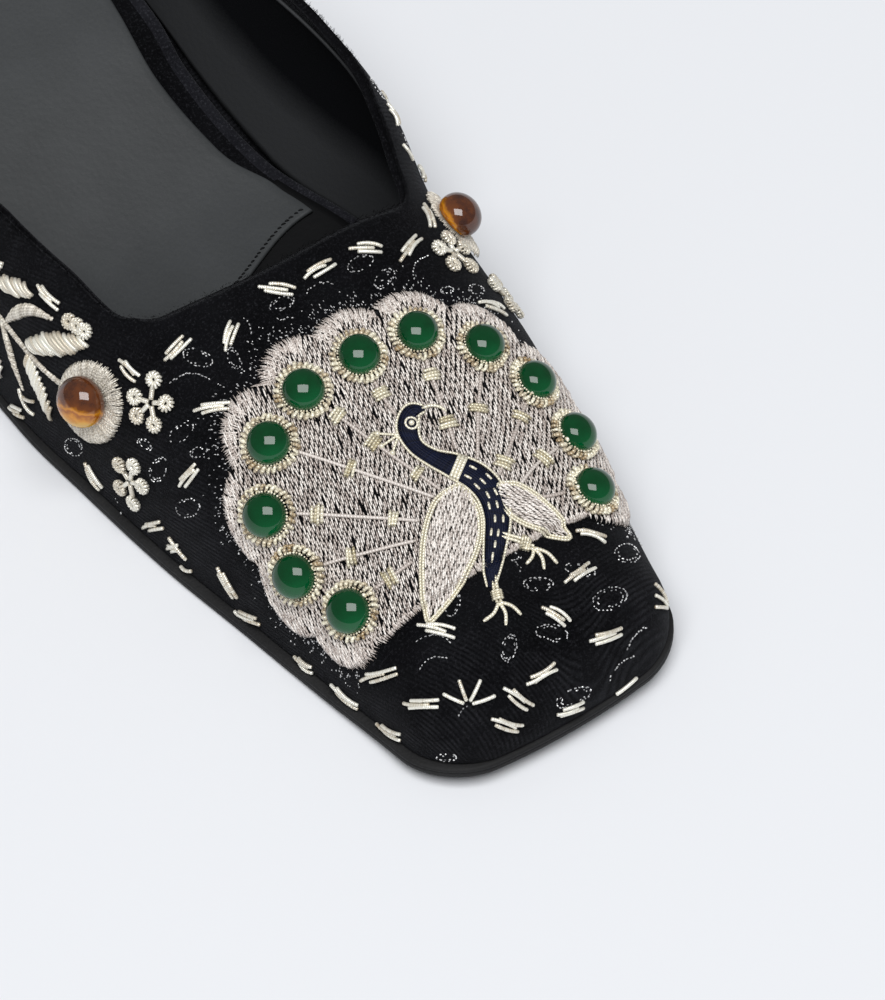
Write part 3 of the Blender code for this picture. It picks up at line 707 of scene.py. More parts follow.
def make_pile(sheet, thread):
    """Short upright pile that softens the rolled rim of the velvet."""
    chain = sheet.rim[30:-30]
    line, out = sheet.outer[chain], sheet.normals[chain]
    along = unit(gradient(line, axis=0))
    run = runs(line)
    place = np.sort(rand(0.0, run[-1], PILE_COUNT))
    roll = radians(rand(-10.0, 150.0, PILE_COUNT))
    point, up, away, way = (resample(rows, run, place) for rows in (line, out, cross(along, out), along))
    root = point - 0.8 * up + 0.72 * circle(roll, 1.05 * up, 0.95 * away)
    root -= 0.5 * RNG.random((PILE_COUNT, 1)) * away * (roll[:, None] < 0.8)
    lean = circle(roll, up, away) + bell(0.0, 0.28, (PILE_COUNT, 1)) * way
    lean = lean + bell(0.0, 0.15, (PILE_COUNT, 3))
    length = rand(0.30, 0.62, (PILE_COUNT, 1))
    path = stack([root, root + 0.55 * length * lean, root + length * (lean + 0.2 * way)], axis=1)
    strands = Strands()
    strands.add(path, way[:, None], PILE_THREAD * array([1.0, 0.9, 0.5]), sides=3,
                tone=RNG.random(PILE_COUNT))
    strands.piece("velvet_pile", thread, "velvet")


def make_lining(sheet, leather):
    points, walls = sheet.wall(VELVET_WALL + 0.08, WALL, 0.12, 3)
    # Painted light and shade by height above the feather: 1 (lighter) up to 3 mm, falling to 0 (darker) at 22
    # mm.
    fade = 1.0 - smooth_step(points[:, 2] - feather(clip(points[:, 1], 0.0, LENGTH)), 3.0, 22.0)
    add_piece("upper_lining", points, walls, [leather], "lining", fixed=True, fade=fade)


def make_lining_edge(sheet, leather):
    """Rolled edge of the lining where the velvet turns over it; its leather is a lighter copy of the
    lining's: painted highlight along the edge.
    """
    edge = Strands()
    chain = sheet.rim[23:-23]
    depth = (WALL + 0.05) * sheet.normals[chain]
    edge.add(sheet.outer[chain] - depth, -depth, EDGING_RADIUS, sides=8)
    edge.piece("lining_edge", leather, "lining")


# ---- sole, wedge, footbed, sock

def plan_stations(begin, pitch=1.6):
    toe = TOE_CORNER * evenly(14)[:-1] ** 2
    start = max(begin, TOE_CORNER)
    run = linspace(start, HEEL_START, round((HEEL_START - start) / pitch) + 1)
    heel = HEEL_START + (LENGTH - HEEL_START) * 0.9995 * sin(linspace(0.0, pi / 2.0, 22)[1:])
    return concatenate([toe[toe >= begin], run, heel])


def flat_rows(stations, insets, ends, height, columns=36):
    lateral, medial = half_lines(stations, *insets)
    x = linspace(lateral, medial, columns + 1, axis=1)
    toe_part = bounded(1.0 - stations / 60.0)
    heel_part = bounded((stations - HEEL_START) / (LENGTH - HEEL_START))
    centre = stations - ends[0] * toe_part + ends[1] * heel_part
    s = centre[:, None] + toe_bow(stations[:, None], x, (lateral + medial)[:, None] / 2.0)
    return stack([x, s, broadcast_to(height(centre)[:, None], x.shape)], axis=-1)


def stacked(levels):
    """Closed solid through levels of rows, full below and above."""
    index = numbered(levels[0][..., 0])
    rim = concatenate([index[0, :], index[1:, -1], index[-1, -2::-1], index[-2:0:-1, 0]])
    below, *between, above = [level.reshape(-1, 3) for level in levels]
    used = index.size + len(rim) * arange(len(between) + 1)
    rings = array([rim, *(start + arange(len(rim)) for start in used[:-1]), rim + used[-1]])
    rings = hstack([rings, rings[:, :1]])
    quads = [grid_quads(index)[:, ::-1], grid_quads(index + used[-1]), grid_quads(rings)]
    return concatenate([below, *(level[rim] for level in between), above]), concatenate(quads)


def make_outsole(finish):
    stations = plan_stations(0.0)
    flare = SOLE_FLARE * smooth_step(120.0 - stations, 0.0, 60.0)
    profile = (
        # inwards from the widest line, height above the underside
        (0.9, 0.0), (0.45, 0.08), (0.15, 0.3), (0.0, 0.7), (0.0, 1.2), (0.01, 1.42), (0.10, 1.5),
        (0.10, 1.62), (0.01, 1.7), (0.02, OUTSOLE - 0.35), (0.15, OUTSOLE - 0.1), (0.4, OUTSOLE),
    )
    levels = []
    for inwards, up in profile:
        out = SOLE_PROUD - inwards
        levels.append(flat_rows(stations, (-out - flare, -out), (out, out), lambda s: sole_lift(s) + up))
    add_piece("sole", *stacked(levels), [finish], "outsole", "outsole")


def make_wedge(velvet):
    stations = plan_stations(WEDGE_FRONT)
    profile = (
        # inset, share of the height
        (0.5, 0.0), (0.22, 0.03), (0.2, 0.12), (0.32, 0.4),
        (0.42, 0.7), (0.25, 0.9), (0.1, 0.97), (0.35, 1.0),
    )

    def height(s):
        low = sole_lift(s) + OUTSOLE + GAP
        return low + share * (feather(s) - GAP - low)

    levels = []
    for inset, share in profile:
        levels.append(flat_rows(stations, (inset, inset), (0.0, -inset), height))
    points, quads = stacked(levels)
    rib = points[:, 1] * 0.9 + points[:, 2] * 0.4
    # show=0.7 paints the wedge's rows lighter: painted sheen.
    add_piece("wedge_cover", points, quads, [velvet], "velvet", "wedge", rib=rib, show=0.7)


def make_footbed(velvet, roll):
    """Velvet-wrapped footbed; the roll along its edge stands a little proud and gets a lighter copy of the
    velvet: painted sheen.
    """
    stations = np.sort(np.append(plan_stations(0.0), (WING_END + 0.6, WING_END + 1.8, WING_END + 3.0)))
    lateral, medial = (table(BOARD_INSET, column, stations) for column in (1, 2))
    profile = (
        # inwards from the edge, height above the board's underside
        (0.5, 0.0), (0.12, 0.12), (0.0, 0.5), (0.0, BOARD - 1.1), (0.0, BOARD - 0.5), (0.1, BOARD),
        (0.35, BOARD + 0.38), (0.75, BOARD + 0.56), (1.2, BOARD + 0.54), (1.6, BOARD + 0.32),
        (1.9, BOARD + 0.08), (2.2, BOARD),
    )
    levels = []
    for inwards, up in profile:
        insets = (lateral + inwards, medial + inwards)
        ends = (-WALL - 0.7 - inwards, -0.4 - inwards)
        levels.append(flat_rows(stations, insets, ends, lambda s: feather(s) + up))
    points, quads = stacked(levels)
    middle = points[quads].mean(axis=1)
    proud = middle[:, 2] - feather(middle[:, 1]) > BOARD + 0.03
    proud &= np.ptp(points[quads][:, :, 2], axis=1) > 0.0
    # The proud faces of the roll take the second finish, the lighter velvet: painted sheen.
    add_piece("footbed_cover", points, quads, [velvet, roll], "velvet", "footbed", slots=proud,
              rib=points[:, 1], show=0.5)


def make_insole_front(leather):
    """Smooth lining of the footbed in front of the sock, under the throat."""
    stations = linspace(58.0, 113.0, 56)
    insets = [table(BOARD_INSET, column, stations) + 1.6 for column in (1, 2)]
    levels = [flat_rows(stations, insets, (0.0, 0.0), lambda s: feather(s) + BOARD + up)
              for up in (0.02, 0.14, 0.2)]
    add_piece("insole_front", *stacked(levels), [leather], "lining")


def tongue(across, inwards):
    """How far the sock's front edge lies back at a place from -1 to 1."""
    return SOCK_TONGUE * (0.5 - 0.5 * cos(pi * across)) + inwards


def make_sock(leather):
    stations = plan_stations(SOCK_FRONT, 1.2)
    lateral, medial = (table(SOCK_INSET, column, stations) for column in (1, 2))
    levels = []
    for inwards, up in ((0.0, 0.0), (0.0, SOCK - 0.3), (0.12, SOCK - 0.08), (0.4, SOCK)):
        insets = (lateral + inwards, medial + inwards)
        rows = flat_rows(stations, insets, (0.0, -SOCK_HEEL - inwards), feather)
        back = tongue(linspace(-1.0, 1.0, rows.shape[1]), inwards)
        rows[..., 1] += back * bounded(1.0 - (stations[:, None] - SOCK_FRONT) / 25.0)
        rows[..., 2] = feather(rows[..., 1]) + BOARD + GAP + up
        levels.append(rows)
    add_piece("sock_leather", *stacked(levels), [leather], "sock_leather", "sock")


def make_sock_stitches(thread):
    """One row of thick slanted stitches just inside the sock's front edge."""
    strands = Strands()
    across = linspace(-1.0, 1.0, 241)
    lateral, medial = half_lines(SOCK_FRONT, *(table(SOCK_INSET, column, SOCK_FRONT) for column in (1, 2)))
    s = SOCK_FRONT + tongue(across, SEAM_INSET)
    x = lateral + (medial - lateral) * (across + 1.0) / 2.0
    seam = stack([x, s, feather(s) + BOARD + GAP + SOCK], axis=1)
    run = runs(seam)
    slope = gradient(seam, run, axis=0)
    rise = array([-0.06, 0.10, 0.16, 0.10, -0.06])
    for begin in arange(1.4, run[-1] - 1.2, SEAM_PITCH):
        place = begin + rand(-0.12, 0.12)
        middle, way = (resample(rows, run, place) for rows in (seam, slope))
        turn = radians(SEAM_SLANT) + rand(-0.12, 0.12)
        way = cos(turn) * way + sin(turn) * array([-way[1], way[0], 0.0])
        half = SEAM_HALF_STITCH * rand(0.8, 1.15)
        path = middle + linspace(-half, half, 5)[:, None] * way
        path[:, 2] += rise
        strands.add(path, (0.0, 0.0, 1.0), SEAM_THREAD * array([0.6, 1.0, 1.05, 1.0, 0.6]), tone=RNG.random())
    strands.piece("sock_stitches", thread, "sock_leather")


# ---- camera, light, floor

def stand(data, elevation, distance):
    """Camera or light on the viewer's side, turned to the aim."""
    turn, tilt = radians(AZIMUTH), radians(elevation)
    away = Vector((sin(turn) * cos(tilt), -cos(turn) * cos(tilt), sin(tilt)))
    thing = show(data.name, data)
    thing.location = Vector(AIM) + distance * away
    thing.rotation_euler = (pi / 2.0 - tilt, 0.0, turn)
    return thing


def place_camera():
    data = bpy.data.cameras.new("camera")
    data.lens = LENS
    data.sensor_width = 36.0
    data.clip_end = 20.0
    bpy.context.scene.camera = stand(data, ELEVATION, DISTANCE)


def studio():
    key = bpy.data.lights.new("key", "AREA")
    key.shape = "RECTANGLE"
    key.size, key.size_y = 0.82 * KEY_DISTANCE, 0.60 * KEY_DISTANCE
    key.energy = KEY_POWER * KEY_DISTANCE**2
    stand(key, KEY_ELEVATION, KEY_DISTANCE)
    bpy.context.view_layer.update()
    bpy.context.scene.view_settings.view_transform = "Standard"
    world = bpy.data.worlds.new("studio")
    world.use_nodes = True
    background = world.node_tree.nodes["Background"]
    background.inputs["Color"].default_value = (0.95, 0.97, 1.0, 1.0)
    background.inputs["Strength"].default_value = WORLD
    bpy.context.scene.world = world
    mesh = bpy.data.meshes.new("floor")
    corners = [(FLOOR_HALF * x, FLOOR_HALF * y, 0.0) for x, y in ((-1, -1), (1, -1), (1, 1), (-1, 1))]
    mesh.from_pydata(corners, [], [(0, 1, 2, 3)])
    n = Nodes("floor_paint")
    paint = n.ramp(n.noise(0.004, 2.0), (0.3, (0.800, 0.815, 0.845)), (0.7, (0.806, 0.821, 0.851)))
    mesh.materials.append(n.finish(Base_Color=paint, Roughness=0.9, Specular_IOR_Level=0.1))
    show("floor", mesh)


# ---- places on the upper

def round_fan(turn, reach):
    return FAN_CENTRE[0] + reach * cos(turn), FAN_CENTRE[1] + reach * sin(turn)


def stone_places():
    return [(*round_fan(radians(angle), distance), size) for _, size, angle, distance in STONES]


def fan_reach(angle):
    """Outline of the fan round its centre: scallops, and a straight lower edge."""
    reach = minimum(FAN_HUB, (FAN_CENTRE[1] - FAN_BASE) / clip(-sin(angle), 1e-6, None))
    for i, (distance, size, *_) in enumerate(STONES):
        off = angle - radians(FAN_FIRST_ANGLE + FAN_STEP * i)
        inside = (SCALLOP * size) ** 2 - (distance * sin(off)) ** 2
        hit = distance * cos(off) + sqrt(maximum(inside, 0.0))
        reach = where((inside > 0.0) & (hit > reach), hit, reach)
    return reach


def fan_depth(a, s):
    """How far a place lies inside the fan's outline, measured towards its centre."""
    a, s = a - FAN_CENTRE[0], s - FAN_CENTRE[1]
    return fan_reach(np.arctan2(s, a)) - hypot(a, s)


def ground(a, s):
    """Height of the fan under a place, nothing beside it."""
    return (FAN_TOP + 0.1) * sqrt(bounded(fan_depth(a, s) / 0.9))


def clear_of_stones(a, s, reach):
    clear = [hypot(a - stone_a, s - stone_s) > reach * size for stone_a, stone_s, size in stone_places()]
    return np.all(clear, axis=0)


def seat(a, s):
    """Point on the upper and an upright frame there: across, along, outwards."""
    point, normal = skin(a, s)
    along = unit(array([0.0, 1.0, 0.0]) - normal * normal[1])
    return point, cross(along, normal), along, normal


def skin_sheet():
    """Fine sheet of the whole outer face, to drop motifs on."""
    s = concatenate([toe_steps(30), arange(TOE_DOME, 177.5, 0.8)])
    a = linspace(*feather_ends(s), 181, axis=1)
    points = skin(a, s[:, None])[0].reshape(-1, 3)
    return BVHTree.FromPolygons(points.tolist(), grid_quads(numbered(a)).tolist())


OUTER_FACE = skin_sheet()


def lay(a, run, angle, uv, lift=0.0):
    """Local millimetres (n, 2), along an angle (0 medial, 90 heel) from a place of
    the upper and across it: the nearest points of the upper, lifted, and normals."""
    s = station(run)
    low, high = feather_ends(s)
    a = clip(a, low + FEATHER_MARGIN, high - FEATHER_MARGIN)
    point, normal = skin(a, s)
    side = skin(a + 0.3, s)[0] - skin(a - 0.3, s)[0]
    side = unit(side - normal * np.dot(side, normal))
    turn = radians(angle)
    first = cos(turn) * side + sin(turn) * cross(normal, side)
    flat = point + uv[:, :1] * first + uv[:, 1:] * cross(normal, first)
    found, normals = array([OUTER_FACE.find_nearest(Vector(place))[:2] for place in flat]).transpose(1, 0, 2)
    normals[normals[:, 2] < -0.2] *= -1.0
    return found + np.reshape(lift, (-1, 1)) * normals, normals


# ---- fan, stones, discs

STITCH_SHAPE = array([0.12, 0.82, 1.02, 1.02, 0.82, 0.12])


def brick_stitches(centre, reach, way, pitch, stitch):
    """Starts and ends of staggered rows of straight stitches over a square."""
    way = unit(array(way))
    side = -beside(way)
    starts, ends = [], []
    for number, row in enumerate(arange(-reach, reach, pitch)):
        shift = (number * 0.382 % 1.0 + rand(-0.1, 0.1)) * stitch
        run = arange(-reach + shift, reach, stitch)
        run = run + rand(-0.09, 0.09, len(run)) * stitch
        jitter = bell(0.0, 0.09 * pitch, len(run))
        sway = 0.22 * sin(row * 0.21) * sin(run * 0.13)
        middle = array(centre) + (row + jitter + sway)[:, None] * side + run[:, None] * way
        half = (0.5 * stitch * rand(0.90, 1.03, len(run)))[:, None] * way
        half += bell(0.0, 0.11 * pitch, len(run))[:, None] * side
        starts.append(middle - half)
        ends.append(middle + half)
    return concatenate(starts), concatenate(ends)


def make_fan_backing(finish):
    """Thin cushion under the fan's stitches, rounded down at its edge."""
    turn = radians(arange(0.0, 360.0, 1.5))
    reach = fan_reach(turn) - 0.2
    share = concatenate([[0.02], evenly(13)[1:] ** 0.8])[:, None]
    a, s = round_fan(turn, share * reach)
    low, high = 0.1, FAN_TOP - 0.33
    lifts = low + (high - low) * sqrt(bounded((1.0 - share) * reach / 0.7))
    points = [skin(a, s, lift)[0].reshape(-1, 3) for lift in (lifts, low)]
    index = numbered(a)
    hubs = [cap_faces(index[:1] + base) for base in (0, a.size)]
    index = hstack([index, index[:, :1]])
    edge = index[-1] + array([[0], [a.size]])
    quads = [grid_quads(index)[:, ::-1], grid_quads(index + a.size), grid_quads(edge), *hubs]
    add_piece("fan_backing", concatenate(points), concatenate(quads), [finish], "velvet", "fan", fixed=True)


def make_fan_field(finish):
    """Brick rows of slanted metal-thread stitches over the fan."""
    strands = Strands()
    start, end = brick_stitches(FAN_CENTRE, FIELD_REACH, FIELD_WAY, FIELD_PITCH, FIELD_STITCH)
    a, s = ((start + end) / 2.0).T
    keep = (fan_depth(a, s) > 1.0) & clear_of_stones(a, s, STONE_CLEAR)
    keep &= RNG.random(len(keep)) > FIELD_GAPS
    start, end = start[keep], end[keep]
    lift = FAN_TOP - 0.22 + rand(-0.04, 0.05, (len(start), 1))
    t = evenly(6)
    strands.sew(*spread(start, end, t), lift + 0.2 * sin(pi * t) ** 0.6, FIELD_THREAD * STITCH_SHAPE, sides=4,
                flat=0.85, tone=RNG.random(len(start)))
    strands.piece("fan_field", finish, "silver_thread")


def make_fan_border(finish):
    """Radial satin stitches round every lobe and along the straight edge."""
    strands = Strands()
    lobe_turn = radians(FAN_FIRST_ANGLE + FAN_STEP * arange(len(STONES)))
    hubs = stack(round_fan(lobe_turn, array([row[0] for row in STONES])), axis=1)
    for step, short, long, inner in ((0.54, 2.2, 3.8, 0.0), (0.72, 1.2, 2.4, 0.12)):
        turn = radians(arange(0.0, 360.0, step))
        turn = turn + radians(rand(-0.3, 0.3, len(turn)) * step)
        place = stack(round_fan(turn, fan_reach(turn) - inner), axis=1)
        away = (turn[:, None] - lobe_turn + pi) % TAU - pi
        hub = hubs[np.argmin(np.abs(away), axis=1)]
        kept = RNG.random(len(turn)) > 0.12
        place, hub = place[kept], hub[kept]
        n = len(place)
        hem = (place[:, 1] < FAN_BASE + 0.25) & (np.abs(place[:, 0] - FAN_CENTRE[0]) < 24.0)
        way = unit(where(hem[:, None], (-0.25, 1.0), hub - place))
        length = where(hem, rand(0.6, 1.3, n), rand(short, long, n))
        out = where(hem, rand(-0.05, 0.1, n), rand(-0.15, 0.55, n))
        lean = bell(0.0, 0.13, n)
        t = array([0.0, 0.15, 0.4, 0.65, 0.88, 1.0])
        end = place + (way - lean[:, None] * beside(way)) * length[:, None]
        a, s = spread(place - way * out[:, None], end, t)
        high = 0.18 + (FAN_TOP - 0.32) * sqrt(bounded(fan_depth(a, s))) + rand(0.0, 0.12, (n, 1)) * t
        high[:, -1] -= 0.12
        strands.sew(a, s, high, FIELD_THREAD * array([0.22, 0.6, 0.85, 0.88, 0.7, 0.15]), sides=5, flat=0.8,
                    tone=0.7 * RNG.random(n))
    strands.piece("fan_border", finish, "silver_thread")


def dome(name, place, radius, height, lift, finish, slot_name, node, glow_way):
    point, across, along, normal = place
    girdle = 0.32 * height
    turn = linspace(0.0, pi / 2.0, 17)[:-1]
    profile = array([
        (0.3, 0.0), (0.80 * radius, 0.0), (0.93 * radius, 0.1 * girdle), (0.985 * radius, 0.5 * girdle),
        *zip(radius * cos(turn), girdle + (height - girdle) * sin(turn)), (0.05, height)])[:, None]
    side = circle(TAU * arange(48) / 48, across, along)
    points = point + profile[..., :1] * side + (lift + profile[..., 1:]) * normal
    index = numbered(points[..., 0])
    quads = [grid_quads(hstack([index, index[:, :1]])), cap_faces(index[:1], True), cap_faces(index[-1:])]
    # Painted light inside the stone: the glow field rises towards glow_way.
    ray = (points - point - (lift + girdle) * normal) / radius
    glow = smooth_step(ray @ array(glow_way), -0.15, 0.95).ravel()
    add_piece(name, points.reshape(-1, 3), concatenate(quads), [finish], slot_name, node,
              fixed=True, glow=glow)


def coil(place, theta, roll, major, wide, high, tall):
    """Path that winds round a circle on the upper."""
    point, across, along, normal = place
    out = (major + wide * cos(roll))[:, None] * circle(theta, across, along)
    return point + out + (high + tall * sin(roll))[:, None] * normal


def make_ring(number, place, size, finish):
    """Coil of gold purl round a stone, with a row of small beads inside it."""
    point, across, along, normal = place
    strands = Strands()
    turns, steps = 30, 9
    theta = linspace(0.0, TAU, turns * steps + 1)
    places = arange(turns + 1) * TAU / turns
    uneven = rand(-1.0, 1.0, (3, turns + 1))
    uneven[:, -1] = uneven[:, 0]
    shift, swell, lean = (interp(theta, places, row) for row in uneven)
    major = RING_RADIUS * size * (1.0 + 0.025 * shift + 0.015 * sin(3.0 * theta + number))
    minor = 0.42 + 0.17 * swell
    wire = 0.29 + 0.08 * interp(theta, places, rand(-1.0, 1.0, turns + 1))
    shade = interp(theta, places, rand(0.15, 1.35, turns + 1))
    path = coil(place, theta, turns * theta + 0.7 * lean, major, minor, FAN_TOP + 0.72, minor)
    strands.add(path, normal + 1e-3, wire, tone=shade[None])
    beads = 44
    out = circle(loose_turns(beads, 0.15), across, along)
    spot = point + (STONE_RADIUS * size + 0.12) * out
    spot = spot + (FAN_TOP + 1.25 + rand(-0.12, 0.12, (beads, 1))) * normal
    strands.add_balls(spot, normal, rand(0.15, 0.23, beads), rand(0.4, 1.3, beads))
    strands.piece(f"purl_ring_{number:02d}", finish, "gold_purl", f"stone_ring_{number:02d}")


def make_disc(name, disc, finish):
    """Padded disc of short radial stitches in staggered rings, its edge a fine fringe."""
    a, s, wide, long, tilt = disc
    strands = Strands()
    for count, near, far in ((150, 0.18, 0.52), (180, 0.40, 0.74), (220, 0.58, 0.90), (280, 0.76, 1.01)):
        turn = loose_turns(count, 0.3)[:, None]
        off = turn - radians(tilt)
        oval = 1.0 / hypot(cos(off) / wide, sin(off) / long)
        start = oval * (near + rand(-0.06, 0.06, (count, 1)))
        end = oval * (far + rand(-0.03, 0.025, (count, 1)))
        t = evenly(5)
        reach = start + (end - start) * t
        heading = turn + bell(0.0, 0.015, (count, 1)) * t
        inside = bounded((1.04 * oval - reach) / 1.5)
        thick = 1.0 + 0.3 * np.sign(a) * cos(turn)
        high = 0.2 + thick * sqrt(1.0 - (1.0 - inside) ** 2) + rand(-0.05, 0.09, (count, 1))
        high -= 0.12 * (2.0 * t - 1.0) ** 4
        strands.sew(a + reach * cos(heading), s + reach * sin(heading), high,
                    DISC_THREAD * array([0.5, 1.0, 1.05, 0.95, 0.6]), sides=4, flat=0.85,
                    tone=rand(0.25, 1.0, count))
    strands.piece(f"satin_disc_{name}", finish, "silver_thread", f"halo_{name}")


# ---- places of the motifs

# Groups of cut purl laid side by side
BARS = (
    # a, run over the toe, angle, length, count
    (-34.5, 98.7, -92, 5.1, 3), (-30.9, 80.8, -90, 4.7, 2), (-22.9, 77.4, 3, 5.3, 2),
    (-23.9, 66.8, -35, 6.3, 3), (-14.9, 73.7, 38, 5.1, 2), (-34.4, 63.1, -10, 5.6, 2),
    (-56.0, 81.2, -125, 5.2, 2), (-51.1, 67.2, -42, 6.2, 2), (-49.1, 61.3, -117, 4.5, 1),
    (-50.2, 62.2, -45, 3.5, 2), (-43.9, 50.9, -132, 5.9, 2), (-55.1, 59.2, -70, 2.7, 1),
    (-49.4, 46.0, -61, 5.6, 2), (-44.0, 33.5, -85, 4.0, 2), (-39.7, 24.5, -89, 5.7, 2),
    (-27.3, 19.2, -34, 7.4, 3), (-23.6, 10.0, -46, 6.2, 2), (-35.6, 14.0, -69, 5.8, 2),
    (-8.8, 0.7, -65, 5.5, 2), (-3.9, 2.1, 2, 5.6, 2), (-11.8, -2.5, -52, 5.6, 2),
    (-0.9, -6.5, -14, 5.2, 2), (9.9, -9.0, 15, 4.3, 1), (8.2, 2.4, -13, 5.9, 2),
    (2.3, 9.2, -62, 4.9, 2), (-14.7, 17.3, -52, 5.6, 2), (9.5, 13.1, 5, 5.8, 2),
    (15.5, 18.4, -38, 5.4, 2), (-4.1, 76.3, -38, 5.4, 3), (3.5, 75.7, 1, 5.5, 3),
    (12.0, 75.3, -28, 4.8, 2), (18.7, 72.7, 26, 6.0, 3), (26.8, 77.8, -103, 4.8, 2),
    (26.0, 60.1, -18, 5.3, 2), (35.6, 96.5, -71, 3.8, 2), (33.7, 90.2, -48, 3.2, 1),
    (38.2, 88.7, -101, 3.0, 2), (-64.8, 100.0, -60, 4.2, 2), (-58.1, 98.6, -140, 3.2, 1),
    (-58.6, 96.8, -95, 3.0, 1), (-56.6, 97.0, -60, 3.4, 1),
)
SPROUTS = (
    # a and run of the root, first and last angle, reach, bars
    (-16.5, 4.3, 118, -20, 4.6, 4),
    (24.8, 4.0, 150, 196, 5.6, 3),
)
DOTTED = (
    # a, run, angle, length, closed
    (-20.8, 74.1, -61, 4.9, 1), (-24.0, 72.0, -41, 6.8, 0), (-16.4, 70.6, -106, 3.5, 1),
    (-30.4, 67.9, -18, 4.8, 1), (-30.2, 63.9, -30, 3.0, 1), (-55.1, 86.0, -32, 6.0, 1),
    (-37.6, 72.2, -75, 3.0, 1), (-38.9, 68.3, -10, 5.4, 1), (-57.8, 75.4, -151, 3.8, 0),
    (-39.1, 61.1, -35, 5.7, 1), (-25.1, 1.2, -63, 3.3, 1), (0.2, -4.6, -12, 6.3, 1),
    (14.4, -0.8, 18, 5.8, 0), (9.6, -4.5, 20, 5.4, 0), (12.1, 7.3, -6, 6.6, 1),
    (0.5, 7.0, -35, 5.3, 1), (-6.8, 8.3, 42, 4.4, 1), (-16.1, 16.1, -42, 5.2, 0),
    (-18.1, 13.3, -20, 4.6, 0), (-10.3, 19.5, 45, 4.6, 1), (2.0, 21.2, -54, 2.8, 1),
    (1.4, 19.0, -99, 2.9, 0), (2.9, 14.9, -29, 4.6, 1), (10.2, 13.6, -43, 4.6, 1),
    (20.7, 13.8, 10, 6.8, 1), (-4.8, 73.9, -6, 4.1, 1), (1.6, 73.1, -8, 4.4, 0),
    (9.8, 73.6, 1, 4.6, 1), (11.4, 69.7, 23, 4.3, 1), (18.5, 69.1, 28, 6.1, 0),
    (19.5, 64.2, -2, 2.4, 1), (25.4, 63.5, 8, 3.7, 1), (-7.5, 70.7, 11, 5.2, 0),
    (-11.8, 73.5, -110, 3.1, 0), (-17.7, 3.7, 22, 2.6, 0), (37.0, 101.5, -75, 4.0, 1),
    (36.0, 93.0, -70, 3.2, 0),
)
FLOWERS = (
    # middle a and s, then the five petals
    ((-31.2, 74.5), (-28.1, 76.6), (-33.0, 77.4), (-35.0, 75.2), (-33.2, 71.7), (-28.9, 72.3)),
    ((-46.3, 72.5), (-45.4, 75.4), (-42.0, 72.4), (-50.4, 74.4), (-43.8, 69.6), (-50.2, 70.9)),
    ((25.9, 70.4), (26.8, 73.3), (22.9, 71.3), (29.6, 71.7), (23.4, 67.8), (27.6, 67.4)),
    ((33.5, 63.5), (33.2, 66.4), (30.6, 64.8), (36.4, 64.9), (31.8, 60.9), (35.6, 61.2)),
)
SPARKLES = 640
FAR_BEGIN = (112.0, 101.0)
FAR_END = 168.0
PETAL_REACH = 0.9
PURL_COIL = 0.42
PURL_RADIUS = 0.32
BAR_GAP = 0.59
LEAVES = (
    # slanted purl leaves: base a and s, tip a and s, half width, bars
    (-45.2, 98.2, -34.0, 89.2, 1.75, 15), (-48.0, 98.4, -53.3, 91.0, 1.75, 11),
    (-40.8, 107.6, -36.4, 102.0, 1.5, 8), (-47.5, 113.5, -37.5, 109.8, 1.7, 13),
    (-52.0, 111.0, -58.5, 104.0, 1.7, 11), (-49.5, 127.0, -41.0, 121.0, 1.5, 12),
    (-53.0, 124.5, -58.5, 117.5, 1.5, 11),
)
STEMS = (
    # satin stems and crescents: rows of a, s and half width
    ((-46.9, 106.0, 0.5), (-46.9, 99.6, 0.55), (-46.2, 94.5, 0.5), (-44.6, 89.8, 0.5)),
    ((-46.0, 104.6, 0.3), (-42.6, 103.0, 0.95), (-39.3, 100.4, 0.95), (-36.7, 96.0, 0.25)),
    ((-46.9, 106.0, 0.5), (-50.0, 103.4, 0.8), (-52.8, 101.4, 0.75), (-56.0, 98.6, 0.25)),
    ((-46.9, 106.0, 0.5), (-48.4, 112.0, 0.5), (-50.6, 120.0, 0.5), (-51.4, 129.0, 0.3)),
    ((-50.6, 120.0, 0.3), (-46.6, 118.2, 0.8), (-43.6, 115.0, 0.7), (-41.6, 112.6, 0.2)),
)
COILS = (
    # clusters of curled purl: a, s, angle, length, count
    (-33.4, 91.5, -157, 5.0, 3),
    (-40.0, 110.6, -40, 3.0, 2),
)
RAYS = (
    # stone, a and s of the inner end, knots as shares of the ray
    (1, -12.2, 28.3, (0.42,)), (2, -10.1, 30.8, (0.33,)),
    (3, -8.0, 33.2, (0.20, 0.80)), (4, -4.0, 35.2, (0.40,)),
    (5, -2.4, 35.6, (0.10, 0.42, 0.80)), (6, -1.6, 49.2, (0.40,)),
    (7, 3.4, 40.0, (0.18, 0.72)), (8, 5.4, 37.0, (0.45,)),
    (9, 7.0, 33.2, (0.24, 0.86)), (10, 8.4, 30.0, (0.34,)),
    (11, 9.6, 27.4, ()),
)
BIRD_BODY = (
    # a, s, half width from the brow over the neck to the tail
    (2.9, 48.0, 0.35), (0.9, 48.5, 1.25), (-1.3, 46.6, 1.6), (-1.9, 43.6, 1.25),
    (-0.6, 40.6, 1.35), (1.6, 37.8, 1.95), (3.7, 34.4, 2.3), (4.1, 30.8, 2.25),
    (2.8, 27.2, 2.0), (0.4, 23.9, 1.75), (-2.0, 20.9, 1.3), (-3.9, 18.2, 0.5),
)
BIRD_BEAK = ((2.5, 48.2), (4.0, 47.9), (5.1, 47.0), (5.5, 45.9))
BIRD_EYE = (-0.4, 46.9)
EYE_RADIUS = 0.95
SPOT_REACH = 0.62
BIRD_RELIEF = 0.62
BIRD_CREST = ((-3.1, 46.4), ((-5.8, 48.2), (-6.4, 46.2), (-5.6, 44.4)))
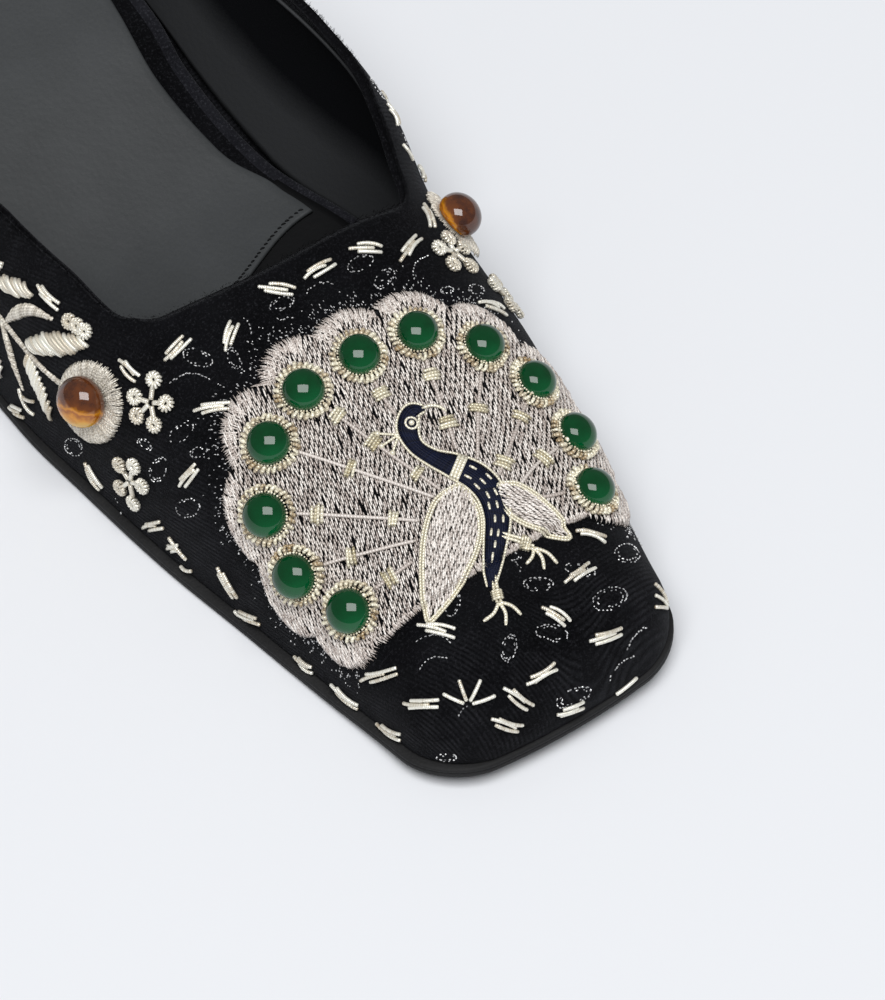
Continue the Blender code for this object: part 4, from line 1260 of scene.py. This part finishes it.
BIRD_SPOTS = (
    # share of the body's length, then places across it
    (0.47, (-0.4, 0.4)), (0.53, (-0.55, 0.0, 0.55)), (0.59, (-0.3, 0.3)), (0.65, (-0.5, 0.1)),
    (0.71, (-0.2, 0.45)), (0.77, (-0.45, 0.15)), (0.83, (0.0,)), (0.88, (-0.1,)),
)
WINGS = (
    # shoulder a and s, tip a and s, half width, bend of the spine
    (0.4, 34.6, -14.8, 19.2, 4.1, 0.7),
    (6.0, 31.6, 11.6, 19.4, 2.5, -0.5),
)
LEGS = (
    # rows of a, s from the body to the ankle, then the toes' tips
    (((-2.6, 19.6), (-3.4, 17.6), (-4.2, 15.4)), ((-8.0, 14.0), (-5.4, 11.6), (-2.4, 11.8))),
    (((1.6, 24.6), (3.6, 22.4), (5.6, 20.4)), ((3.0, 18.6), (5.0, 16.4), (7.4, 16.2))),
)


# ---- cords, satin and purl

def spline(rows, pitch):
    """Smooth curve through rows, sampled about every pitch of its first two columns."""
    rows = array(rows, float)
    ends = vstack([2.0 * rows[0] - rows[1], rows, 2.0 * rows[-1] - rows[-2]])
    t = evenly(25)[:-1, None]
    line = [0.5 * (2.0 * p1 + (p2 - p0) * t + (2.0 * p0 - 5.0 * p1 + 4.0 * p2 - p3) * t**2
                   + (3.0 * p1 - p0 - 3.0 * p2 + p3) * t**3)
            for p0, p1, p2, p3 in zip(ends, ends[1:], ends[2:], ends[3:])]
    line = vstack(line + [rows[-1:]])
    run = runs(line[:, :2])
    return resample(line, run, linspace(0.0, run[-1], max(3, round(run[-1] / pitch) + 1)))


def sides_of(curve):
    """Directions along and beside a curve (n, 2)."""
    way = unit(gradient(curve, axis=0))
    return way, beside(way)


def add_cord(strands, rows, radius, lift, tone, sides=6):
    """Cord along a curve of (a, s) rows, on the velvet or the fan."""
    curve = spline(rows, 0.45)
    a, s = curve.T
    size = np.full(len(a), radius)
    size[[0, -1]] *= 0.6
    strands.sew(a, s, ground(a, s) + lift, size, sides=sides, tone=tone)
    return curve


def double_cord(strands, rows, radius, gap):
    """Two cords side by side along a curve."""
    curve = spline(rows, 0.5)
    side = sides_of(curve)[1]
    for sign in (-1.0, 1.0):
        a, s = (curve + sign * gap * side).T
        strands.sew(a, s, ground(a, s) + 0.3, radius, tone=rand(0.5, 0.9))


def add_band(strands, spot, side, reach, lift, arch, radius, tone):
    """Thread laid over from one side of a spot to the other."""
    t = linspace(-1.0, 1.0, 7)
    a, s = (spot + reach * t[:, None] * side).T
    strands.sew(a, s, ground(a, s) + lift + arch * sqrt(1.02 - t * t), radius, tone=tone)


def add_satin(strands, rows, lift, arch, pitch=0.17, thread=0.13, lean=0.5, ragged=0.1):
    """Satin stitches across a ribbon given by rows of a, s and half width."""
    curve = spline(rows, pitch)
    way, side = sides_of(curve[:, :2])
    half = curve[:, 2:] + rand(-ragged, ragged, (len(curve), 1))
    reach = (side + lean * way) * half
    t = evenly(7)
    a, s = spread(curve[:, :2] - reach, curve[:, :2] + reach, t)
    swell = minimum(1.0, half / 0.9) * arch * sin(pi * t) ** 0.7
    thick = thread * array([0.6, 0.95, 1.0, 1.0, 1.0, 0.95, 0.6])
    strands.sew(a, s, ground(a, s) + lift + swell, thick, sides=5, flat=0.85,
                tone=rand(0.2, 1.0, len(curve)))


def add_purl(strands, a, run, angle, start, end, bow=0.0, tone=0.6):
    """One piece of cut purl between two local places, its coils as small ridges, painted lighter on their
    crests and darker between them: painted highlight and shade, with random tone on top.
    """
    start, end = array(start), array(end)
    length = norm(end - start)
    count = 2 * max(3, round(length / PURL_COIL)) + 1
    t = evenly(count)
    arch = np.outer(4.0 * bow * t * (1.0 - t), beside((end - start) / length))
    uv = start + (end - start) * t[:, None] + arch
    path, up = lay(a, run, angle, uv, PURL_RADIUS * 0.8 + 0.3 * sin(pi * t) ** 0.8)
    ridge = arange(count) % 2
    size = PURL_RADIUS * (0.93 + 0.10 * ridge) * rand(0.95, 1.05, count)
    size[[0, -1]] = 0.8 * PURL_RADIUS
    # Crests painted lighter, valleys darker: painted highlight and shade; the random part is tone.
    shade = tone - 0.15 + 0.30 * ridge + rand(-0.25, 0.35, count)
    strands.add(path, up, size, sides=7, tone=shade[None])


def add_group(strands, a, run, angle, length, count):
    """Bars side by side, shifted along each other; a pair gets a third bar."""
    count = 3 if count == 2 else count
    for k in range(count):
        v = (k - (count - 1) / 2.0) * BAR_GAP
        slide = (-1) ** k * rand(0.05, 0.16) * length if count > 1 else 0.0
        half = 0.5 * length * (rand(0.74, 0.88) if count > 1 else 1.0)
        turn = rand(-0.08, 0.08)
        add_purl(strands, a, run, angle, (slide - half, v - turn * half), (slide + half, v + turn * half),
                 bow=rand(-0.25, 0.35), tone=rand(0.45, 1.15))


# ---- rays and bird

def make_rays(silver, gold):
    """Fine cords from the stones to the bird, each tied down by knots."""
    cords, knots = Strands(), Strands()
    places = stone_places()
    for stone, end_a, end_s, shares in RAYS:
        *middle, size = places[stone - 1]
        middle, end = array(middle), array([end_a, end_s])
        way = unit(end - middle)
        side = beside(way)
        start = middle + way * 4.5 * size
        bend = 0.35 * rand(-1.0, 1.0)
        rows = [start, (start + end) / 2.0 + side * bend, end]
        curve = add_cord(cords, rows, 0.28, 0.22, tone=rand(0.12, 0.5), sides=8)
        bead, up = skin(*(middle + way * 3.0 * size), FAN_TOP + 1.55)
        knots.add_balls(bead[None], up, 0.42, 0.95, sides=8, rows=6)
        for share in shares:
            spot = curve[int(share * (len(curve) - 1))]
            bars = int(RNG.integers(3, 5))
            for k in range(bars):
                off = (k - (bars - 1) / 2.0) * 0.5 + rand(-0.08, 0.08)
                half = 1.5 * rand(0.75, 1.1)
                slant = side + rand(-0.12, 0.12) / half * way
                add_band(knots, spot + way * off, slant, half, 0.12, 0.42,
                         0.27 * array([0.7, 1, 1, 1, 1, 1, 0.7]), rand(0.2, 0.9))
    cords.piece("ray_cords", silver, "silver_thread")
    knots.piece("ray_knots", gold, "gold_purl")


def fill_wing(strands, spine, width, way):
    """Fine staggered stitches over a raised, leaf-shaped wing."""
    rows = spline(np.column_stack([spine, width]), 0.3)
    slant = circle(radians(14.0), way, beside(way))
    start, end = brick_stitches(spine[len(spine) // 2], 14.0, slant, 0.27, 1.8)
    t = evenly(6)
    a, s = spread(start, end, t)
    away = hypot(a[..., None] - rows[:, 0], s[..., None] - rows[:, 1])
    share = np.min(away / maximum(rows[:, 2], 0.05), axis=-1)
    keep = share.mean(axis=1) < 0.95
    a, s, share = a[keep], s[keep], share[keep]
    swell = 0.6 * sqrt(bounded(1.0 - share**2)) + 0.1 * sin(pi * t)
    strands.sew(a, s, ground(a, s) * 0.9 + 0.15 + swell, 0.165 * STITCH_SHAPE, sides=5, flat=0.8,
                tone=rand(0.25, 1.1, len(a)))


def add_outline(metal):
    """Edges, beak, spots, neck band, eye and crest of the bird."""
    body = spline(BIRD_BODY, 0.4)
    way, side = sides_of(body[:, :2])
    for sign in (-1.0, 1.0):
        add_cord(metal, body[:, :2] + sign * side * (body[:, 2:] + 0.12), 0.22, 0.25, 0.75)
    add_cord(metal, BIRD_BEAK, 0.26, 0.35, 0.9)
    for share, offs in BIRD_SPOTS:
        k = int(share * len(body))
        for off in offs:
            spot = body[k, :2] + off * body[k, 2] * side[k]
            a, s = (spot + SPOT_REACH * array([[-1.0], [0.0], [1.0]]) * way[k]).T
            metal.sew(a, s, ground(a, s) + BIRD_RELIEF, 0.24 * array([0.7, 1.0, 0.7]), tone=0.9)
    k = int(0.42 * len(body))
    for off in (-0.55, 0.0, 0.55):
        add_band(metal, body[k, :2] + off * way[k], side[k], body[k, 2] * 1.05, 0.3, 0.5, 0.3, 0.95)
    turn = linspace(0.0, TAU, 15)
    a, s = BIRD_EYE[0] + EYE_RADIUS * cos(turn), BIRD_EYE[1] + EYE_RADIUS * sin(turn)
    metal.sew(a, s, ground(a, s) + BIRD_RELIEF, 0.2, tone=0.95)
    point, up = skin(*BIRD_EYE, ground(*BIRD_EYE) + 0.75)
    metal.add_balls(point[None], up, 0.48, 0.95, sides=10, rows=6)
    root, tips = BIRD_CREST
    for tip in tips:
        add_cord(metal, (root, (array(root) + tip) / 2.0, tip), 0.22, 0.25, 0.8)
        point, up = skin(*tip, FAN_TOP + 0.35)
        metal.add_balls(point[None], up, 0.5, 0.8, sides=8, rows=6)


def add_leg(metal, leg, toes):
    """Leg with its wrapped ankle and three toes."""
    double_cord(metal, leg, 0.27, 0.3)
    shank, ankle = array(leg[1]), array(leg[-1])
    down = unit(ankle - shank)
    for k in range(4):
        spot = (shank + ankle) / 2.0 + down * (k - 1.5) * 0.42
        add_band(metal, spot, beside(down), 0.85, 0.2, 0.6, 0.24, rand(0.5, 1.0))
    for tip in toes:
        middle = (ankle + tip) / 2.0 + 0.5 * (tip - ankle)[::-1] * (-0.25, 0.25)
        add_cord(metal, (ankle, middle, tip), 0.31, 0.3, 0.85)


def make_bird(navy, silver, gold):
    """Plain traditional peacock: silk body, satin wings, gold outlines and feet."""
    silk, satin, metal = Strands(), Strands(), Strands()
    add_satin(silk, BIRD_BODY, 0.1, 0.5, pitch=0.15, thread=0.11, lean=0.35, ragged=0.03)
    silk.piece("bird_silk", navy, "navy_silk")
    add_outline(metal)
    for shoulder_a, shoulder_s, tip_a, tip_s, half, bend in WINGS:
        way = array([tip_a - shoulder_a, tip_s - shoulder_s])
        side = unit(beside(way))
        t = evenly(9)
        arch = np.outer(bend * 4.0 * t * (1.0 - t), side)
        spine = array([shoulder_a, shoulder_s]) + t[:, None] * way + arch
        width = half * sin(pi * clip(t, 0.02, 0.99) ** 0.72) ** 0.8
        width[0], width[-1] = 0.15, 0.1
        fill_wing(satin, spine, width, way)
        edge = side * (width[:, None] + 0.25)
        double_cord(metal, vstack([spine + edge, (spine - edge)[::-1], (spine + edge)[:1]]), 0.24, 0.24)
    for leg, toes in LEGS:
        add_leg(metal, leg, toes)
    satin.piece("bird_wings", silver, "silver_thread")
    metal.piece("bird_gold", gold, "gold_purl")


# ---- cut purl, flowers, sprig, dots

def far_rows(pitch, keep_off, gap, lengths, counts):
    """Motifs evenly scattered over the wings behind what the tables place."""
    places = []
    for side, begin in zip((-1, 1), FAR_BEGIN):
        for s in arange(begin, FAR_END, pitch):
            end = feather_ends(s)[0 if side < 0 else 1]
            rim = topline(s, side)[0]
            room = abs(end - rim) - 2.0 * keep_off
            count = max(0, round(room / pitch))
            for k in range(count):
                share = (k + 0.5 + rand(-0.22, 0.22)) / count
                a = rim + np.sign(end - rim) * (keep_off + share * room)
                places.append((a, s + rand(-0.25, 0.25) * pitch))
    leaves = array(LEAVES)
    taken = [leaves[:, :2], leaves[:, 2:4], (leaves[:, :2] + leaves[:, 2:4]) / 2.0, *array(STEMS)[..., :2]]
    taken = concatenate(taken)
    return [(a, s, rand(-140.0, 30.0), rand(*lengths), int(RNG.integers(*counts)))
            for a, s in places if norm(taken - (a, s), axis=1).min() > gap]


def make_bars(finish):
    strands = Strands()
    for row in BARS:
        add_group(strands, *row)
    for a, run, first, last, reach, bars in SPROUTS:
        for turn in linspace(first, last, bars):
            add_purl(strands, a, run, turn, (0.7, 0.0), (reach * rand(0.9, 1.05), 0.0),
                     tone=rand(0.5, 1.0))
    for row in far_rows(8.6, 4.2, 5.0, (4.4, 5.8), (2, 4)):
        add_group(strands, *row)
    strands.piece("purl_bars", finish, "gold_purl")


def curl_petal(strands, middle, petal):
    """Curl of purl round a petal's place, on a stalk from the flower's middle."""
    middle, petal = array(middle), array(petal)
    strands.sew(*spread(middle, petal, linspace(0.15, 0.72, 5)), 0.55, 0.42, sides=8, tone=rand(0.5, 1.0))
    turns = 12
    bent = linspace(0.0, 1.92 * pi, turns * 8 + 1)
    theta = bent + np.arctan2(*(middle - petal)[::-1])
    place = seat(*petal)
    path = coil(place, theta, turns * bent, 0.97 - 0.045 * bent, 0.45, 0.70, 0.42)
    strands.add(path, place[-1] + 1e-3, 0.25, sides=5, tone=rand(0.5, 0.95))


def make_flowers(finish):
    """Five curled petals of purl on short stalks, and clusters of curls."""
    strands = Strands()
    for middle, *petals in array(FLOWERS):
        for petal in petals:
            curl_petal(strands, middle, middle + PETAL_REACH * (petal - middle))
    for a, s, angle, length, count in COILS:
        turn = radians(angle + 90.0)
        for off in (arange(count) - (count - 1) / 2.0) * length / 3.0:
            curl_petal(strands, (a + 0.4 * off, s - 0.8), (a + off * cos(turn), s + off * sin(turn)))
    strands.piece("curl_flowers", finish, "gold_purl")


def make_sprig(ivory, gold):
    """Leafy branch on the lateral wing: satin stems, leaves of slanted purl."""
    stems, leaves = Strands(), Strands()
    for rows in STEMS:
        add_satin(stems, rows, 0.2, 0.55)
    stems.piece("sprig_stems", ivory, "silver_thread")
    t = evenly(8)
    for base_a, base_s, tip_a, tip_s, half, bars in LEAVES:
        base, spine = array([base_a, base_s]), array([tip_a - base_a, tip_s - base_s])
        length = norm(spine)
        way = spine / length
        for share in (arange(bars) + 0.5) / bars:
            reach = half * sin(pi * (0.12 + 0.80 * share)) ** 0.55 * rand(0.84, 1.10)
            slant = (beside(way) - 0.9 * way) * reach
            centre = base + share * spine
            high = 0.25 + rand(-0.1, 0.1) + 0.55 * sin(pi * t) ** 0.7
            width = min(0.40, 0.43 * length / bars) * array([0.8, 1, 1, 1, 1, 1, 1, 0.8])
            leaves.sew(*spread(centre - slant, centre + slant, t), high, width, sides=8, tone=rand(0.35, 1.0))
    leaves.piece("sprig_leaves", gold, "gold_purl")


def add_dashes(strands, centres, ahead, ups, half, radius, tone):
    """Tiny stitches from centres towards the points ahead."""
    t = array([-1.0, -0.45, 0.45, 1.0])
    path = centres[:, None] + (half[:, None] * t)[..., None] * unit(ahead - centres)[:, None]
    strands.add(path, ups[:, None], radius[:, None] * array([0.4, 1.0, 1.0, 0.4]), sides=5, tone=tone)


def make_dots(finish):
    """Ovals and curves of tiny silver stitches, and the sparkle round the fan."""
    strands = Strands()
    for a, run, angle, length, closed in [*DOTTED, *far_rows(9.4, 5.2, 4.0, (3.4, 5.4), (0, 2))]:
        for ring in range(1 + closed):
            if closed:
                count = max(8, round(length * (4.0 - ring)))
                turn = loose_turns(count, 0.2)
                uv = (1.0 - 0.26 * ring) * length * stack([0.5 * cos(turn), 0.25 * sin(turn)], axis=1)
                way = stack([-2.0 * sin(turn), cos(turn)], axis=1)
            else:
                count = max(5, round(length * 2.0))
                t = linspace(-1.0, 1.0, count)
                uv = length * stack([0.5 * t, 0.2 * (1.0 - t * t)], axis=1)
                way = stack([np.ones(count), -0.8 * t], axis=1)
            uv = uv + bell(0.0, 0.07, uv.shape)
            keep = RNG.random(count) > (0.16 if ring == 0 else 0.55)
            uv, way = uv[keep], unit(way[keep])
            place, normal = lay(a, run, angle, uv, 0.08)
            ahead = lay(a, run, angle, uv + 0.3 * way, 0.08)[0]
            add_dashes(strands, place, ahead, normal, rand(0.12, 0.25, len(uv)),
                       rand(0.10, 0.16, len(uv)), RNG.random(len(uv)))
    turn = rand(radians(-40.0), radians(205.0), SPARKLES)
    gap = 0.5 + RNG.exponential(1.3, SPARKLES)
    a, s = round_fan(turn, fan_reach(turn) + gap)
    keep = (gap < 5.4) & (fan_depth(a, s) < -0.4)
    a, s, turn = a[keep], s[keep], turn[keep]
    place, normal = skin(a, s, 0.07)
    ahead = skin(a - 0.3 * cos(turn), s - 0.3 * sin(turn), 0.07)[0]
    add_dashes(strands, place, ahead, normal, rand(0.08, 0.22, len(a)), rand(0.07, 0.14, len(a)),
               RNG.random(len(a)))
    strands.piece("silver_dots", finish, "silver_thread")


# ---- everything together

place_camera()
studio()

VELVET = velvet_finish("black_velvet", ribbed=True)
PLAIN_VELVET = velvet_finish("black_velvet_plain")
# Lighter copy of the velvet for the footbed's roll: painted sheen.
LIT_ROLL_VELVET = velvet_finish("black_velvet_roll_painted_sheen", pale=3.6)
SOCK_LEATHER, LINING, LIT_EDGING, INSOLE, SOLE = (leather_finish(*row) for row in (
    # name, dark, light, roughness, scale and depth of the grain, gloss, whether painted light and shade by
    # height is mixed in
    ("sock_grey_leather", (0.027, 0.0295, 0.031), (0.047, 0.0505, 0.053), 0.52),
    ("lining_leather", (0.003, 0.0032, 0.0042), (0.034, 0.0355, 0.0380), 0.5, 1.1, 0.05, 0.18, True),
    # Lighter copy of the lining leather for its rolled edge: painted highlight.
    ("lining_edge_leather", (0.022, 0.023, 0.025), (0.038, 0.040, 0.043), 0.5),
    ("insole_black_leather", (0.0018, 0.0019, 0.0022), (0.0042, 0.0044, 0.0050), 0.65, 1.1, 0.05, 0.16),
    ("sole_black", (0.006, 0.006, 0.0065), (0.024, 0.024, 0.0248), 0.68, 2.4, 0.16, 0.2),
))
SILVER, GOLD, CORD, IVORY, PURL, DOTS, NAVY, DARK_THREAD, PILE = (thread_finish(*row) for row in (
    # name, dark, light, roughness, metallic, pitch and depth of the twist, gloss
    ("silver_thread", (0.44, 0.37, 0.33), (1.0, 0.94, 0.88), 0.28, 0.04, 0.5, 0.05, 0.9),
    ("gold_purl", (0.31, 0.18, 0.055), (1.0, 0.945, 0.76), 0.24, 0.15, 0.35, 0.08),
    ("pale_gold_cord", (0.40, 0.33, 0.18), (1.0, 0.95, 0.78), 0.28, 0.30, 0.5, 0.07),
    ("ivory_satin", (0.34, 0.29, 0.22), (0.97, 0.92, 0.82), 0.38, 0.18, 0.5),
    ("ivory_purl", (0.46, 0.35, 0.21), (1.0, 0.98, 0.88), 0.16, 0.34, 0.3, 0.03, 0.9),
    ("silver_dot", (0.30, 0.30, 0.31), (1.0, 1.0, 1.0), 0.2, 0.5, 0.4),
    ("navy_silk", (0.0010, 0.0017, 0.007), (0.0045, 0.008, 0.030), 0.5, 0.0, 0.4, 0.05, 0.2),
    ("black_thread", (0.003, 0.003, 0.0035), (0.010, 0.010, 0.011), 0.6, 0.0, 0.5, 0.05, 0.2),
    ("black_pile", (0.002, 0.002, 0.0024), (0.011, 0.011, 0.013), 0.9, 0.0, 0.4, 0.05, 0.05),
))
BACKING = velvet_finish("fan_backing_cloth")
EMERALD = glass_finish(
    # Green painted lighter towards the glow side: painted light.
    "emerald_glass", (0.55, 3.0, 0.6), (0.35, 0.65),
    ((0.1, (0.0004, 0.040, 0.010)), (0.8, (0.0012, 0.100, 0.028))),
    (0.015, 0.4), Roughness=0.05, IOR=1.49)
AMBER = glass_finish(
    "amber_glass", (0.42, 3.0, 0.55), (0.60, 0.72),
    # The bright orange stops are a painted caustic band and a painted bright rim, placed by the glow field.
    ((0.22, (0.060, 0.020, 0.012)), (0.46, (0.20, 0.058, 0.014)), (0.60, (0.80, 0.31, 0.014)),
     (0.69, (0.42, 0.12, 0.012)), (0.84, (0.86, 0.34, 0.016)), (1.0, (1.0, 0.56, 0.06))),
    (0.01, 0.3), Roughness=0.03, IOR=1.64, Transmission_Weight=0.25)

upper = Sheet()
lining = Sheet(LINING_DROP, side=24, top_columns=40, pitch=2.0)
make_upper(upper, VELVET)
make_pile(upper, PILE)
make_lining(lining, LINING)
make_outsole(SOLE)
make_wedge(VELVET)
make_footbed(PLAIN_VELVET, LIT_ROLL_VELVET)
make_insole_front(INSOLE)
make_sock(SOCK_LEATHER)
make_sock_stitches(DARK_THREAD)
make_lining_edge(lining, LIT_EDGING)

make_fan_backing(BACKING)
make_fan_field(SILVER)
make_fan_border(SILVER)
for number, (*middle, size) in enumerate(stone_places(), start=1):
    place = seat(*middle)
    dome(f"emerald_{number:02d}", place, STONE_RADIUS * size, STONE_HEIGHT * size, FAN_TOP + GAP, EMERALD,
         "green_glass", f"cabochon_{number:02d}", GREEN_PAINTED_GLOW)
    make_ring(number, place, size, GOLD)
for (name, a, s, radius, height, glow_way), disc in zip(AMBERS, DISCS):
    make_disc(name, disc, IVORY)
    dome(f"amber_stone_{name}", seat(a, s), radius, height, AMBER_LIFT, AMBER, "amber_glass",
         f"amber_{name}", glow_way)

make_rays(SILVER, CORD)
make_bird(NAVY, SILVER, CORD)
make_bars(PURL)
make_flowers(PURL)
make_sprig(IVORY, PURL)
make_dots(DOTS)
